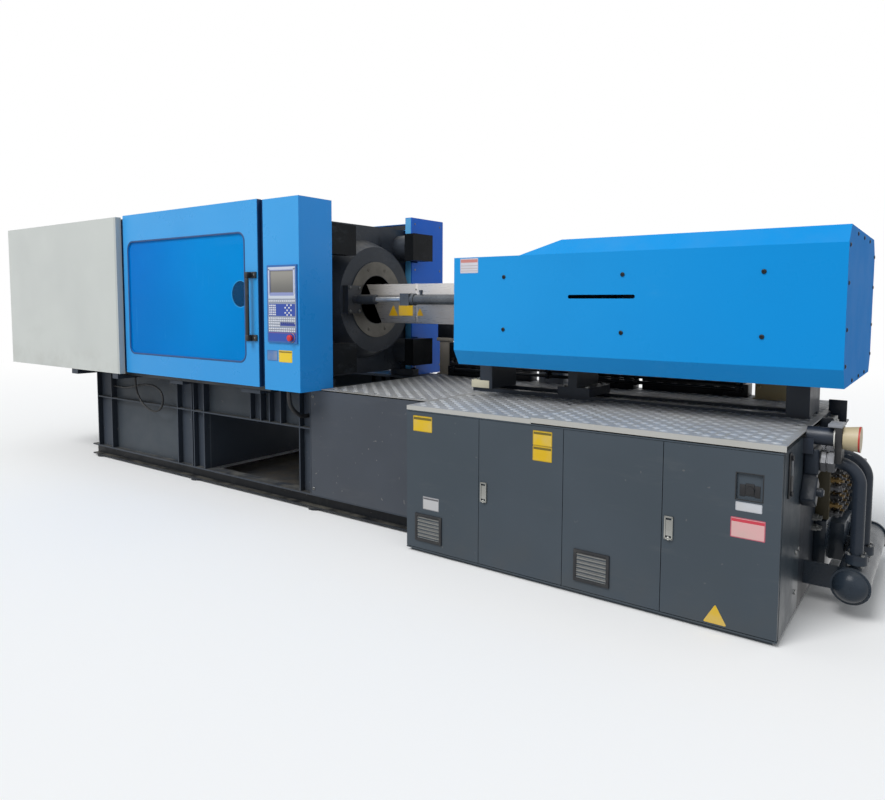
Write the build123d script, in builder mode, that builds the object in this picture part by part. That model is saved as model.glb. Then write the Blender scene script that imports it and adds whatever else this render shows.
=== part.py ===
from build123d import *
from math import cos, pi, radians, sin, tan
import os

# Horizontal injection moulding machine with a toggle clamp, drawn with the mould open.
# Millimetres. +X runs from the clamp end to the injection end, the operator stands at -Y, +Z is up.
# The origin is under the middle of the machine, on the floor.
os.makedirs("parts", exist_ok=True)

# Clearances
RUNNING = 0.05
SEAT = 0.25
GAP = 0.3
SWING = 3

# Bed
BED_LEFT_X = -2517
BED_HALF_WIDTH = 696
BED_TOP = 808
PAD_HEIGHT = 17
PAD_RADIUS = 60
BASE_RAIL_HEIGHT = 93
BASE_RAIL_WIDTH = 100
FLANGE = 10
WEB = 10
POSTS_X = ((-2413, -2176), (-1201, -1001), (-988, -848), (206, 322))
SHORT_POSTS_X = ((-305, -184), (-99, 27))
HIDDEN_POSTS_X = ((700, 820), (1180, 1299))
MID_RAIL_TOP = 554
BED_PANEL_RECESS = 50
BED_PLATE = 6
WAY_THICKNESS = 18
WAY_WIDTH = 296
CROSS_PLATE = 12
SIDE_PANEL_X = (324, 1309)
SIDE_PANEL_ABOVE = 2
SIDE_PANEL = 4
ARM_DEPTH = 25
ARM_DROP = 13
DOOR_ARMS_X = ((-1070, -910), (-220, -20))
COVER_ARMS_X = ((-2400, -2300), (-1740, -1660))

# Power cabinet and treads
CABINET_LEFT_X = 1311
LEAF_PITCH = 481
LEAF_COUNT = 4
CABINET_FRONT_Y = -903
CABINET_DEPTH = 400
CABINET_FLOOR = 24
CABINET_TOP = 792
CABINET_WALL = 20
LEAF_THICKNESS = 20
LEAF_SKIN = 3
LEAF_STILE = 24
LEAF_GAP = 3
LEAF_BOTTOM = 28
LEAF_TOP = 790
LEAF_PIN_RADIUS = 3
LEAF_PIN_LENGTH = 25
LEAF_PIN_IN = 8
LEAF_PIN_BACK = 5
CABINET_SHELF = 6
CABINET_REVEAL = 4
PLINTH_WIDTH = 60
SWITCHGEAR_MARGIN = 60
SWITCHGEAR_PLATE_Z = (100, 712)
SWITCHGEAR_ROWS = ((90, 70, 6), (120, 90, 4), (80, 60, 8))
SWITCHGEAR_FIRST_ROW = 160
SWITCHGEAR_ROW_PITCH = 180
SWITCHGEAR_FILL = 0.7
VENT_WIDTH = 176
VENT_HEIGHT = 150
VENT_BOTTOM = 74
VENT_FROM_EDGE = 65
VENT_FRAME = 14
VENT_PROUD = 5
SLAT_COUNT = 6
SLAT_THICKNESS = 4
SLAT_TILT = 35
LATCH_WIDTH = 38
LATCH_HEIGHT = 100
LATCH_FROM_EDGE = 12
LATCH_Z = 413
LATCH_PROUD = 7
LEVER_WIDTH = 24
LEVER_LENGTH = 70
LEVER_THICKNESS = 5
LEVER_PIN_RADIUS = 2
LEVER_RELIEF = 9
RECESS_WIDTH = 107
RECESS_HEIGHT = 113
RECESS_X = 3110.5
RECESS_Z = 643.5
RECESS_DEPTH = 12
BUTTON_RADIUS = 11
BUTTON_TRAVEL = 4
BUTTON_BELOW = 14
TREAD_SPLIT_X = 2094
TREAD_END_X = 3243
TREAD_FAR_Y = 690
TREAD_A_TOP = 822
TREAD_B_TOP = 830
TREAD_SHEET = 5
TREAD_LIP = 26
TREAD_START_X = 424
BEARER_INSET = 30
BEARER_WIDTH = 40

# Clamp
AXIS_ABOVE_BED = 602
MOULD_FACE_X = 59
MOULD_HEIGHT = 550
PLATEN_HALF_WIDTH = 565
PLATEN_HALF_HEIGHT = 550
PLATEN_CORNER = 60
PLATEN_WAIST = 48
TAIL_WAIST = 24
FIXED_PLATEN_THICKNESS = 230
MOVING_PLATEN_THICKNESS = 270
TAIL_PLATEN_THICKNESS = 250
RING_RADIUS = 278
RING_PROUD = 6
HUB_RADIUS = 385
HUB_FOOT_RADIUS = 440
FIXED_PLATE_THICKNESS = 110
CORNER_BOSS_RADIUS = 100
CONE_RADIUS = 175
LOCATING_BORE_RADIUS = 80
LOCATING_BORE_DEPTH = 40
FOOT_INNER_Y = 430
TIE_BAR_RADIUS = 57.5
TIE_BAR_Y = 425
TIE_BAR_Z = 405
TIE_BAR_TAIL = 180
TIE_NUT_RADIUS = 78
TIE_NUT_LENGTH = 60
CAP_WIDTH = 218
CAP_HEIGHT = 205
CAP_DEPTH = 96
CAP_WALL = 8
CAP_Y = 439
CAP_Z = 405
CAP_RIM = 14
MOULD_HOLE_RADIUS = 8.75
MOULD_HOLE_DEPTH = 45
MOULD_HOLE_FAR = 245
MOULD_HOLE_NEAR = 105
TAIL_NUT_RADIUS = 92
TAIL_NUT_LENGTH = 110

# Toggle
LINK_LENGTH = 440
LINK_ANGLE_OPEN = 72.5
PIVOT_HEIGHT = 480
PIVOT_FROM_PLATEN = 130
EYE_RADIUS = 78
ELBOW_EYE_RADIUS = 54
LOBE_EYE_RADIUS = 45
TOGGLE_PIN_RADIUS = 40
ELBOW_PIN_RADIUS = 30
LOBE_PIN_RADIUS = 18
REAR_ARM_INNER_Y = 110
REAR_ARM_WIDTH = 70
FRONT_ARM_WIDTH = 70
LUG_WIDTH = 50
SIDE_GAP = 0.5
LOBE_LENGTH = 200
LOBE_ANGLE = 35
REAR_WEB_ALONG = 273
FRONT_WEB_ALONG = 264
WEB_THICKNESS = 50
CROSS_PIN_X = -253
CROSS_PIN_Z = 125
CROSS_LINK_LENGTH = 248
CROSS_LINK_ANGLE = 38.8
CROSS_LINK_HALF = 40
CROSS_EYE_RADIUS = 40
CROSS_PIN_RADIUS = 20
CROSS_LINK_PLAY = 9.6
CROSS_EAR_WIDTH = 35
CROSSHEAD_HALF = 50
CROSSHEAD_ARM_HALF_Z = 40
GUIDE_ROD_Y = 150
GUIDE_ROD_RADIUS = 22
GUIDE_ROD_AHEAD = 161
WINDOW_HALF_Y = 205
WINDOW_HALF_Z = 185
SLOT_HALF_Y = 55
SLOT_HALF_Z = 305
CLAMP_ROD_RADIUS = 40
CLAMP_CYLINDER_RADIUS = 105
CLAMP_BORE_RADIUS = 82
CLAMP_CYLINDER_LENGTH = 575
CLAMP_FLANGE_HALF_Y = 230
CLAMP_FLANGE_HALF_Z = 215
CLAMP_FLANGE = 45
CLAMP_HEAD_RIM = 20
PISTON_LENGTH = 50
EJECTOR_ROD_RADIUS = 25
EJECTOR_PLATE = 30
EJECTOR_HALF_Y = 110
EJECTOR_HALF_Z = 130
EJECTOR_PIN_RADIUS = 15
EJECTOR_PIN_Z = 100
EJECTOR_CYLINDER_RADIUS = 50
EJECTOR_POCKET_DEPTH = 200
EJECTOR_CYLINDER_LENGTH = 150
EJECTOR_WELL_MARGIN = 20
EJECTOR_BRIDGE_HALF_Z = 69.5
EJECTOR_HOLE_RADIUS = 40

# Clamp covers
COVER_LEFT_X = -3520
COVER_LENGTH = 1899
COVER_HALF_WIDTH = 923
COVER_BOTTOM_GAP = 4
COVER_HEIGHT = 1240
COVER_SHEET = 3
COVER_FLANGE = 45
ROOF_FULL_LENGTH = 720
END_WALL_INSET = 12

# Doors
DOOR_FACE_Y = 874
DOOR_LEFT_X = -1602
DOOR_LENGTH = 1625
DOOR_ABOVE_BED = 17
DOOR_HEIGHT = 1239
DOOR_DEPTH = 35
DOOR_SKIN = 3
WINDOW_INSET_LEFT = 64
WINDOW_INSET_RIGHT = 136
WINDOW_ABOVE = 160
WINDOW_HEIGHT = 868
WINDOW_CORNER = 60
WINDOW_RIM = 25
PANE_THICKNESS = 6
PANE_BEHIND = 8
HANDLE_FROM_RIGHT = 67
HANDLE_BOTTOM = 306
HANDLE_LENGTH = 457
HANDLE_BAR_RADIUS = 10
HANDLE_STANDOFF = 36
HANDLE_BRACKET_WIDTH = 113
HANDLE_BRACKET_HEIGHT = 40
RAIL_INNER_Y = 818
RAIL_THICKNESS = 10
RAIL_HEIGHT = 40
RAIL_LEFT_X = -2790
SHOE_LENGTH = 90
SHOE_WALL = 5
SHOE_GRIP = 10
SHOE_FROM_END = 180
REAR_DOOR_LENGTH = 1788

# Columns and control panel
COLUMN_LEFT_X = 81
COLUMN_WIDTH = 339
COLUMN_FACE_Y = -874
COLUMN_DEPTH = 289
COLUMN_PACKING = 7
COLUMN_HEIGHT = 1239
COLUMN_WALL = 3
COLUMN_RETURN = 40
REAR_COLUMN_X = 190
REAR_COLUMN_WIDTH = 65
REAR_COLUMN_DEPTH = 414
REAR_COLUMN_HEIGHT = 1250
PANEL_LEFT_X = 125
PANEL_WIDTH = 281
PANEL_BOTTOM = 1129
PANEL_HEIGHT = 498
PANEL_PROUD = 10
SCREEN_LEFT_X = 154
SCREEN_WIDTH = 220
SCREEN_BOTTOM = 1451
SCREEN_HEIGHT = 140
SCREEN_DEPTH = 4
ESTOP_X = 355
ESTOP_Z = 1163
ESTOP_RADIUS = 20
ESTOP_COLLAR_RADIUS = 30
ESTOP_HEIGHT = 28
ESTOP_STEM_RADIUS = 9
ESTOP_TRAVEL = 5

# Injection unit
INJECTION_COVER_X = 1374
INJECTION_COVER_LENGTH = 2012
INJECTION_HALF_WIDTH = 541
INJECTION_FOOT_HALF = 490
INJECTION_TOP_HALF = 471
INJECTION_BOTTOM = 1027
INJECTION_LOW_CREASE = 1112
INJECTION_HIGH_CREASE = 1650
INJECTION_TOP = 1730
INJECTION_STEP_LENGTH = 435
INJECTION_SLOPE_LENGTH = 220
INJECTION_SHEET = 3
INJECTION_LIP = 40
TOP_EDGE_DRAW = 0.7
CREASE_DRAW = 0.4
HOPPER_HOLE_RADIUS = 120
HOPPER_FROM_END = 226
COVER_MOUTH_HALF_Y = 340
COVER_MOUTH_BOTTOM = 1225
COVER_MOUTH_TOP = 1540
COVER_SLOT_X = (2105, 2469)
COVER_SLOT_Z = 1424
COVER_SLOT_HEIGHT = 20
SHIELD_HALF_Y = 135
SHIELD_BOTTOM = 1247
SHIELD_TOP = 1518
SHIELD_NOSE_TOP_X = 318
SHIELD_NOSE_BOTTOM_X = 459
SHIELD_SHEET = 2
BARREL_NOSE_X = 400
BARREL_RADIUS = 75
BAND_RADIUS = 92
BAND_LENGTH = 120
BAND_GAP = 40
BAND_COUNT = 6
BAND_START = 80
NOZZLE_LENGTH = 200
NOZZLE_RADIUS = 45
NOZZLE_TIP_RADIUS = 18
SCREW_RADIUS = 34
SCREW_TIP = 70
SCREW_CHAMBER = 50
SHANK_RADIUS = 44
THROAT_X = 1470
THROAT_LENGTH = 300
THROAT_HALF_Y = 170
THROAT_TOP = 1560
THROAT_FLANGE = 60
THROAT_FLANGE_HALF_Y = 330
THROAT_FLANGE_HALF_Z = 110
FEED_RADIUS = 40
FEED_BOLT_SPACING = 130
FEED_BOLT_RADIUS = 6.75
FEED_BOLT_DEPTH = 30
INJECTION_CYLINDER_Y = 240
INJECTION_CYLINDER_RADIUS = 72
INJECTION_CYLINDER_LENGTH = 420
INJECTION_BORE_RADIUS = 58
INJECTION_ROD_RADIUS = 30
INJECTION_CYLINDER_CAP = 30
RAM_AHEAD = 60
RAM_PLATE = 90
RAM_HALF_Y = 310
RAM_HALF_Z = 115
MOTOR_RADIUS = 130
MOTOR_LENGTH = 230
BEAM_INNER_Y = 90
BEAM_WIDTH = 60
BEAM_BOTTOM = 1004
BEAM_HEIGHT = 60
FOOT_HALF_Y = 150
FRONT_FOOT_X = (1243, 1374)
FRONT_WEB_X = (1306, 1396)
MIDDLE_FOOT_X = (1856, 2060)
MIDDLE_WEB_X = (1924, 1980)
REAR_POST_X = (3100, 3206)
POST_FOOT_HEIGHT = 50
SOLE_RAIL_TOP = 846
SOLE_RAIL_Y = 110
SOLE_RAIL_WIDTH = 50
SADDLES_X = ((1440, 1500), (2740, 2800))
SADDLE_HEIGHT = 48
CARRIAGE_PLATE = 30
CARRIAGE_NOSE_X = 1290
SHIELD_POST = 40
CROSS_BAR = 30
CARRIAGE_ROD_Y = 285
CARRIAGE_ROD_RADIUS = 18
CARRIAGE_CLEVIS_LENGTH = 51
CARRIAGE_CLEVIS_WIDTH = 131
CARRIAGE_CLEVIS_HEIGHT = 196
CARRIAGE_BOSS_RADIUS = 28
CARRIAGE_BOSS_LENGTH = 45
CARRIAGE_GLAND_X = 781
CARRIAGE_GLAND_LENGTH = 76
CARRIAGE_GLAND_HALF = 40
CARRIAGE_CYLINDER_RADIUS = 33
CARRIAGE_BORE_RADIUS = 26
CARRIAGE_TRAVEL = 400
CARRIAGE_PISTON_LENGTH = 24

# Cooling and filter at the injection end
COOLER_X = 3440
COOLER_Z = 160
COOLER_RADIUS = 72
COOLER_FLANGE_RADIUS = 80
COOLER_FLANGE = 16
COOLER_NEAR_Y = -500
COOLER_LENGTH = 900
COOLER_DOME = 40
COOLER_DOME_MIDDLE = (12, 51)
COOLER_SADDLES_Y = (-330, 180)
COOLER_SADDLE = 14
PIPE_RADIUS = 27
PIPE_BEND = 90
PIPE_TOP_Z = 690
PIPE_PLACES = ((3452, -400), (3462, -230))
PIPE_NECK = 20
PIPE_FLANGE_RADIUS = 45
PIPE_FLANGE = 20
FILTER_Y = -430
FILTER_Z = 806
FILTER_RADIUS = 57
FILTER_LENGTH = 66
FILTER_COLLAR_RADIUS = 51
FILTER_COLLAR = 5
FILTER_CROWN_RADIUS = 48
FILTER_NECK_RADIUS = 40
FILTER_NECK_LENGTH = 109
FILTER_BLOCK = 34
FILTER_FOOT_HALF = 45
FILTER_FOOT_LENGTH = 40
FILTER_FOOT_HEIGHT = 70

# Cords
CABLE_RADIUS = 8
CABLE_ROUTE = (
    (-2176, -672, 654),
    (-2086, -672, 654),
    (-1980, -688, 654),
    (-1860, -710, 668),
    (-1740, -722, 690),
    (-1630, -728, 708),
    (-1530, -732, 716),
    (-1430, -732, 708),
    (-1348, -734, 668),
    (-1318, -738, 596),
    (-1356, -741, 528),
    (-1436, -744, 502),
    (-1530, -746, 518),
    (-1612, -748, 562),
    (-1672, -748, 626),
    (-1700, -748, 696),
    (-1700, -748, 770),
)
CONDUIT_RADIUS = 14
CONDUIT_ROUTE = (
    (285, -850, 815),
    (285, -850, 748),
    (283, -822, 694),
    (278, -774, 656),
    (270, -718, 630),
    (270, -656, 630),
)

# Worked out from the sizes above
axis_z = BED_TOP + AXIS_ABOVE_BED
fixed_rear_x = MOULD_FACE_X + FIXED_PLATEN_THICKNESS
open_angle = radians(LINK_ANGLE_OPEN)
open_span = 2 * LINK_LENGTH * cos(open_angle)
moving_face_x = MOULD_FACE_X - MOULD_HEIGHT - (2 * LINK_LENGTH - open_span)
moving_back_x = moving_face_x - MOVING_PLATEN_THICKNESS
platen_pivot_x = moving_back_x - PIVOT_FROM_PLATEN
tail_pivot_x = platen_pivot_x - open_span
tail_front_x = tail_pivot_x - PIVOT_FROM_PLATEN
tail_back_x = tail_front_x - TAIL_PLATEN_THICKNESS
rear_arm_outer_y = REAR_ARM_INNER_Y + REAR_ARM_WIDTH
front_arm_inner_y = rear_arm_outer_y + SIDE_GAP
front_arm_outer_y = front_arm_inner_y + FRONT_ARM_WIDTH
base_rail_top = PAD_HEIGHT + BASE_RAIL_HEIGHT
way_bottom = BED_TOP - WAY_THICKNESS
cabinet_right_x = CABINET_LEFT_X + LEAF_COUNT * LEAF_PITCH
carcass_front_y = CABINET_FRONT_Y + LEAF_THICKNESS + CABINET_REVEAL
cabinet_back_y = carcass_front_y + CABINET_DEPTH
cover_right_x = COVER_LEFT_X + COVER_LENGTH
cover_bottom = BED_TOP + COVER_BOTTOM_GAP
cover_top = cover_bottom + COVER_HEIGHT
cover_inner_y = COVER_HALF_WIDTH - COVER_SHEET
door_bottom = BED_TOP + DOOR_ABOVE_BED
door_top = door_bottom + DOOR_HEIGHT
door_inner_y = DOOR_FACE_Y - DOOR_DEPTH
arm_top = BED_TOP - ARM_DROP
rail_outer_y = RAIL_INNER_Y + RAIL_THICKNESS
top_rail_top = cover_top - COVER_SHEET
column_bottom = BED_TOP + COLUMN_PACKING


def block(x, y, z, mode=Mode.ADD):
    """Rectangular stock between two places on each axis."""
    with Locations(((x[0] + x[1]) / 2, (y[0] + y[1]) / 2, (z[0] + z[1]) / 2)):
        Box(x[1] - x[0], y[1] - y[0], z[1] - z[0], mode=mode)


def bar_x(x, y, z, radius, mode=Mode.ADD):
    """Round bar along X."""
    with Locations(((x[0] + x[1]) / 2, y, z)):
        Cylinder(radius, x[1] - x[0], rotation=(0, 90, 0), mode=mode)


def bar_y(x, y, z, radius, mode=Mode.ADD):
    """Round bar along Y."""
    with Locations((x, (y[0] + y[1]) / 2, z)):
        Cylinder(radius, y[1] - y[0], rotation=(90, 0, 0), mode=mode)


def bar_z(x, y, z, radius, mode=Mode.ADD):
    """Round bar along Z."""
    with Locations((x, y, (z[0] + z[1]) / 2)):
        Cylinder(radius, z[1] - z[0], mode=mode)


def plate_xz(points, y, mode=Mode.ADD):
    """Plate cut to an outline in X and Z, between two places on Y."""
    with BuildSketch(Plane.XZ.offset(-y[1])) as outline:
        with BuildLine():
            Polyline(*points, close=True)
        make_face()
    extrude(outline.sketch, amount=y[1] - y[0], mode=mode)


def length_yz(points, x, mode=Mode.ADD):
    """A length of a section in Y and Z, between two places on X."""
    with BuildSketch(Plane.YZ.offset(x[0])) as section:
        with BuildLine():
            Polyline(*points, close=True)
        make_face()
    extrude(section.sketch, amount=x[1] - x[0], mode=mode)


def eye_plate(ends, y, mode=Mode.ADD):
    """Forged bar with round ends in X and Z; each end is its place and radius."""
    with BuildSketch(Plane.XZ.offset(-y[1])) as outline:
        for x, z, radius in ends:
            with Locations((x, z)):
                Circle(radius)
        make_hull()
    extrude(outline.sketch, amount=y[1] - y[0], mode=mode)


def turned_x(points, x, y, z, mode=Mode.ADD):
    """Turned piece on an axis along X; each point is a length along it and a radius."""
    with BuildSketch(Plane(origin=(x, y, z), x_dir=(1, 0, 0), z_dir=(0, -1, 0))) as section:
        with BuildLine():
            Polyline(*points, close=True)
        make_face()
    revolve(section.sketch, axis=Axis((x, y, z), (1, 0, 0)), mode=mode)


def both(y):
    """The same span on both sides of the middle plane."""
    return ((y[0], y[1]), (-y[1], -y[0]))


def i_section(y, z, flange, web):
    """The outline of an I beam in Y and Z."""
    middle = (y[0] + y[1]) / 2
    return (
        (y[0], z[0]),
        (y[1], z[0]),
        (y[1], z[0] + flange),
        (middle + web / 2, z[0] + flange),
        (middle + web / 2, z[1] - flange),
        (y[1], z[1] - flange),
        (y[1], z[1]),
        (y[0], z[1]),
        (y[0], z[1] - flange),
        (middle - web / 2, z[1] - flange),
        (middle - web / 2, z[0] + flange),
        (y[0], z[0] + flange),
    )


def keep(piece, name):
    """Name the piece and write it."""
    piece.part.label = name
    export_step(piece.part, f"parts/{name}.step")


# Bed: H beams, plates and ways, welded into one frame
recess_y = BED_HALF_WIDTH - BED_PANEL_RECESS
base_rail_inner_y = BED_HALF_WIDTH - BASE_RAIL_WIDTH
way_inner_y = BED_HALF_WIDTH - WAY_WIDTH
way_left_x = POSTS_X[0][0]
posts_end_x = POSTS_X[3][1]
chute_x = (POSTS_X[2][1], POSTS_X[3][0])
inner_beam_y = (cabinet_back_y, cabinet_back_y + BASE_RAIL_WIDTH)
with BuildPart() as bed_frame:
    for side in (-1, 1):
        outer = side * BED_HALF_WIDTH
        inner = side * base_rail_inner_y
        rail_y = sorted((outer, inner))
        rail_end = CABINET_LEFT_X if side < 0 else cabinet_right_x
        length_yz(i_section(rail_y, (PAD_HEIGHT, base_rail_top), FLANGE, WEB), (BED_LEFT_X, rail_end))
        recess = sorted((side * recess_y, side * (recess_y - BED_PLATE)))
        web_y = sorted((side * recess_y, side * (recess_y + WEB)))
        for post in POSTS_X + SHORT_POSTS_X:
            post_z = (base_rail_top if post in POSTS_X else MID_RAIL_TOP, way_bottom)
            for left in (post[0], post[1] - FLANGE):
                block((left, left + FLANGE), rail_y, post_z)
            block(post, web_y, post_z)
        for post in HIDDEN_POSTS_X:
            hidden = sorted((side * (BED_HALF_WIDTH - SIDE_PANEL), inner))
            block(post, hidden, (base_rail_top, way_bottom))
        block((way_left_x, posts_end_x), rail_y, (MID_RAIL_TOP - FLANGE, MID_RAIL_TOP))
        block((way_left_x, CABINET_LEFT_X), recess, (MID_RAIL_TOP, way_bottom))
        block((way_left_x, POSTS_X[1][0]), recess, (base_rail_top, MID_RAIL_TOP))
        for x, cut_back in (((way_left_x, posts_end_x), 0), ((posts_end_x, CABINET_LEFT_X), SIDE_PANEL)):
            trimmed = sorted((side * (BED_HALF_WIDTH - cut_back), side * way_inner_y))
            block(x, trimmed, (way_bottom, BED_TOP))
        for x in DOOR_ARMS_X:
            arm = sorted((side * recess_y, side * (rail_outer_y + SHOE_WALL)))
            block(x, arm, (arm_top - ARM_DEPTH, arm_top))
        for x in COVER_ARMS_X:
            arm = sorted((side * recess_y, side * (cover_inner_y - SEAT)))
            block(x, arm, (arm_top - ARM_DEPTH, arm_top))
            toe = sorted((side * (COVER_HALF_WIDTH - COVER_FLANGE), side * (cover_inner_y - SEAT)))
            block(x, toe, (arm_top, cover_bottom))
    # Cross plates tie the two sides and close the mould well
    clamp_plates_x = (way_left_x, POSTS_X[1][0])
    chute_plates_x = (chute_x[0] - CROSS_PLATE, chute_x[1], CABINET_LEFT_X - CROSS_PLATE)
    for x in clamp_plates_x + chute_plates_x:
        block((x, x + CROSS_PLATE), (-recess_y, recess_y), (base_rail_top, way_bottom))
    # Injection base: two deep beams and an end plate
    for y in (inner_beam_y, (base_rail_inner_y, BED_HALF_WIDTH)):
        x = (CABINET_LEFT_X, cabinet_right_x)
        length_yz(i_section(y, (base_rail_top, CABINET_TOP), FLANGE, WEB), x)
    inner_x = (CABINET_LEFT_X - CROSS_PLATE, cabinet_right_x)
    length_yz(i_section(inner_beam_y, (PAD_HEIGHT, base_rail_top), FLANGE, WEB), inner_x)
    end_x = (cabinet_right_x - CROSS_PLATE, cabinet_right_x)
    block(end_x, (inner_beam_y[0], BED_HALF_WIDTH), (PAD_HEIGHT, CABINET_TOP))
    # Machining pads under the column, and levelling pads under the rails
    block(
        (COLUMN_LEFT_X + COLUMN_RETURN, COLUMN_LEFT_X + COLUMN_WIDTH - COLUMN_RETURN),
        (-BED_HALF_WIDTH + SIDE_PANEL, COLUMN_FACE_Y + COLUMN_DEPTH),
        (BED_TOP, column_bottom),
    )
    rail_middle = BED_HALF_WIDTH - BASE_RAIL_WIDTH / 2
    for x in (way_left_x, POSTS_X[1][1], posts_end_x, HIDDEN_POSTS_X[1][1] - PAD_RADIUS):
        for y in (-rail_middle, rail_middle):
            bar_z(x, y, (0, PAD_HEIGHT), PAD_RADIUS)
    for x in (CABINET_LEFT_X + 2 * LEAF_PITCH, cabinet_right_x - LEAF_PITCH / 4):
        for y in ((inner_beam_y[0] + inner_beam_y[1]) / 2, rail_middle):
            bar_z(x, y, (0, PAD_HEIGHT), PAD_RADIUS)
keep(bed_frame, "bed_frame")

# Long side panels over the bed's middle, screwed to its posts
with BuildPart() as bed_side_panels:
    for y in both((BED_HALF_WIDTH - SIDE_PANEL, BED_HALF_WIDTH)):
        block(SIDE_PANEL_X, y, (base_rail_top, BED_TOP + SIDE_PANEL_ABOVE))
keep(bed_side_panels, "bed_side_panels")

# Power cabinet: a box with two bays behind four doors
bay_x = (CABINET_LEFT_X + CABINET_WALL, cabinet_right_x - CABINET_WALL)
bay_split = CABINET_LEFT_X + 2 * LEAF_PITCH
leaf_pin_y = CABINET_FRONT_Y + LEAF_PIN_BACK
leaf_edges = [CABINET_LEFT_X + LEAF_PITCH * i for i in range(LEAF_COUNT + 1)]
pins_x = [
    leaf_edges[0] + LEAF_GAP / 2 + LEAF_PIN_IN,
    leaf_edges[2] - LEAF_GAP / 2 - LEAF_PIN_IN,
    leaf_edges[2] + LEAF_GAP / 2 + LEAF_PIN_IN,
    leaf_edges[4] - LEAF_GAP / 2 - LEAF_PIN_IN,
]
with BuildPart() as power_cabinet:
    case_y = (carcass_front_y, cabinet_back_y)
    block((CABINET_LEFT_X, cabinet_right_x), case_y, (CABINET_FLOOR, CABINET_TOP))
    for x in ((bay_x[0], bay_split - CABINET_WALL / 2), (bay_split + CABINET_WALL / 2, bay_x[1])):
        bay_y = (carcass_front_y, cabinet_back_y - CABINET_WALL)
        block(x, bay_y, (CABINET_FLOOR + CABINET_WALL, CABINET_TOP - CABINET_WALL), Mode.SUBTRACT)
    shelf_y = (CABINET_FRONT_Y, cabinet_back_y)
    block((CABINET_LEFT_X, cabinet_right_x), shelf_y, (CABINET_TOP, CABINET_TOP + CABINET_SHELF))
    block((CABINET_LEFT_X, cabinet_right_x), shelf_y, (CABINET_FLOOR - CABINET_SHELF, CABINET_FLOOR))
    foot_x = (CABINET_LEFT_X + CABINET_WALL, cabinet_right_x - CABINET_WALL)
    foot_y = (CABINET_FRONT_Y + CABINET_WALL, CABINET_FRONT_Y + CABINET_WALL + PLINTH_WIDTH)
    block(foot_x, foot_y, (0, CABINET_FLOOR - CABINET_SHELF))
    for x in pins_x:
        bar_z(x, leaf_pin_y, (CABINET_FLOOR, LEAF_BOTTOM + LEAF_PIN_LENGTH), LEAF_PIN_RADIUS)
        bar_z(x, leaf_pin_y, (LEAF_TOP - LEAF_PIN_LENGTH, CABINET_TOP), LEAF_PIN_RADIUS)
keep(power_cabinet, "power_cabinet")

# Switchgear on its mounting plates, at the back of both bays; a row is its height, depth and count
with BuildPart() as switchgear:
    plate_back = cabinet_back_y - CABINET_WALL
    for i in (0, 2):
        x = (leaf_edges[i] + SWITCHGEAR_MARGIN, leaf_edges[i + 2] - SWITCHGEAR_MARGIN)
        block(x, (plate_back - FLANGE, plate_back), SWITCHGEAR_PLATE_Z)
        for row, (height, depth, count) in enumerate(SWITCHGEAR_ROWS):
            z = SWITCHGEAR_FIRST_ROW + row * SWITCHGEAR_ROW_PITCH
            pitch = (x[1] - x[0]) / count
            width = SWITCHGEAR_FILL * pitch
            for k in range(count):
                left = x[0] + (k + 0.5) * pitch - width / 2
                block(
                    (left, left + width),
                    (plate_back - FLANGE - depth, plate_back - FLANGE),
                    (z, z + height),
                )
keep(switchgear, "switchgear")

# Tread plates: two sheets with a front lip, on bearers
with BuildPart() as tread_plates:
    sheet_a = (
        (TREAD_START_X, -BED_HALF_WIDTH),
        (CABINET_LEFT_X, -BED_HALF_WIDTH),
        (CABINET_LEFT_X, CABINET_FRONT_Y),
        (TREAD_SPLIT_X, CABINET_FRONT_Y),
        (TREAD_SPLIT_X, TREAD_FAR_Y),
        (TREAD_START_X, TREAD_FAR_Y),
    )
    with BuildSketch(Plane.XY.offset(TREAD_A_TOP - TREAD_SHEET)) as plan:
        with BuildLine():
            Polyline(*sheet_a, close=True)
        make_face()
    extrude(plan.sketch, amount=TREAD_SHEET)
    lip_y = (CABINET_FRONT_Y, CABINET_FRONT_Y + TREAD_SHEET)
    b_x = (TREAD_SPLIT_X + SEAT, TREAD_END_X)
    block((CABINET_LEFT_X, TREAD_SPLIT_X), lip_y, (CABINET_TOP + CABINET_SHELF + SEAT, TREAD_A_TOP))
    block(b_x, (CABINET_FRONT_Y, TREAD_FAR_Y), (TREAD_B_TOP - TREAD_SHEET, TREAD_B_TOP))
    block(b_x, lip_y, (TREAD_B_TOP - TREAD_LIP, TREAD_B_TOP))
    for i, x in enumerate(((CABINET_LEFT_X, TREAD_SPLIT_X), b_x)):
        under = (TREAD_A_TOP, TREAD_B_TOP)[i] - TREAD_SHEET
        front = (CABINET_FRONT_Y + BEARER_INSET, CABINET_FRONT_Y + BEARER_INSET + BEARER_WIDTH)
        bearer_x = (x[0] + BEARER_INSET, x[1] - BEARER_INSET)
        block(bearer_x, front, (CABINET_TOP + CABINET_SHELF, under))
        for y in ((inner_beam_y[1] - BEARER_WIDTH, inner_beam_y[1]), (base_rail_inner_y, TREAD_FAR_Y)):
            block(bearer_x, y, (CABINET_TOP, under))
    for y in both((way_inner_y, way_inner_y + BEARER_WIDTH)):
        block((TREAD_START_X, CABINET_LEFT_X - BEARER_INSET), y, (BED_TOP, TREAD_A_TOP - TREAD_SHEET))
keep(tread_plates, "tread_plates")


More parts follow.
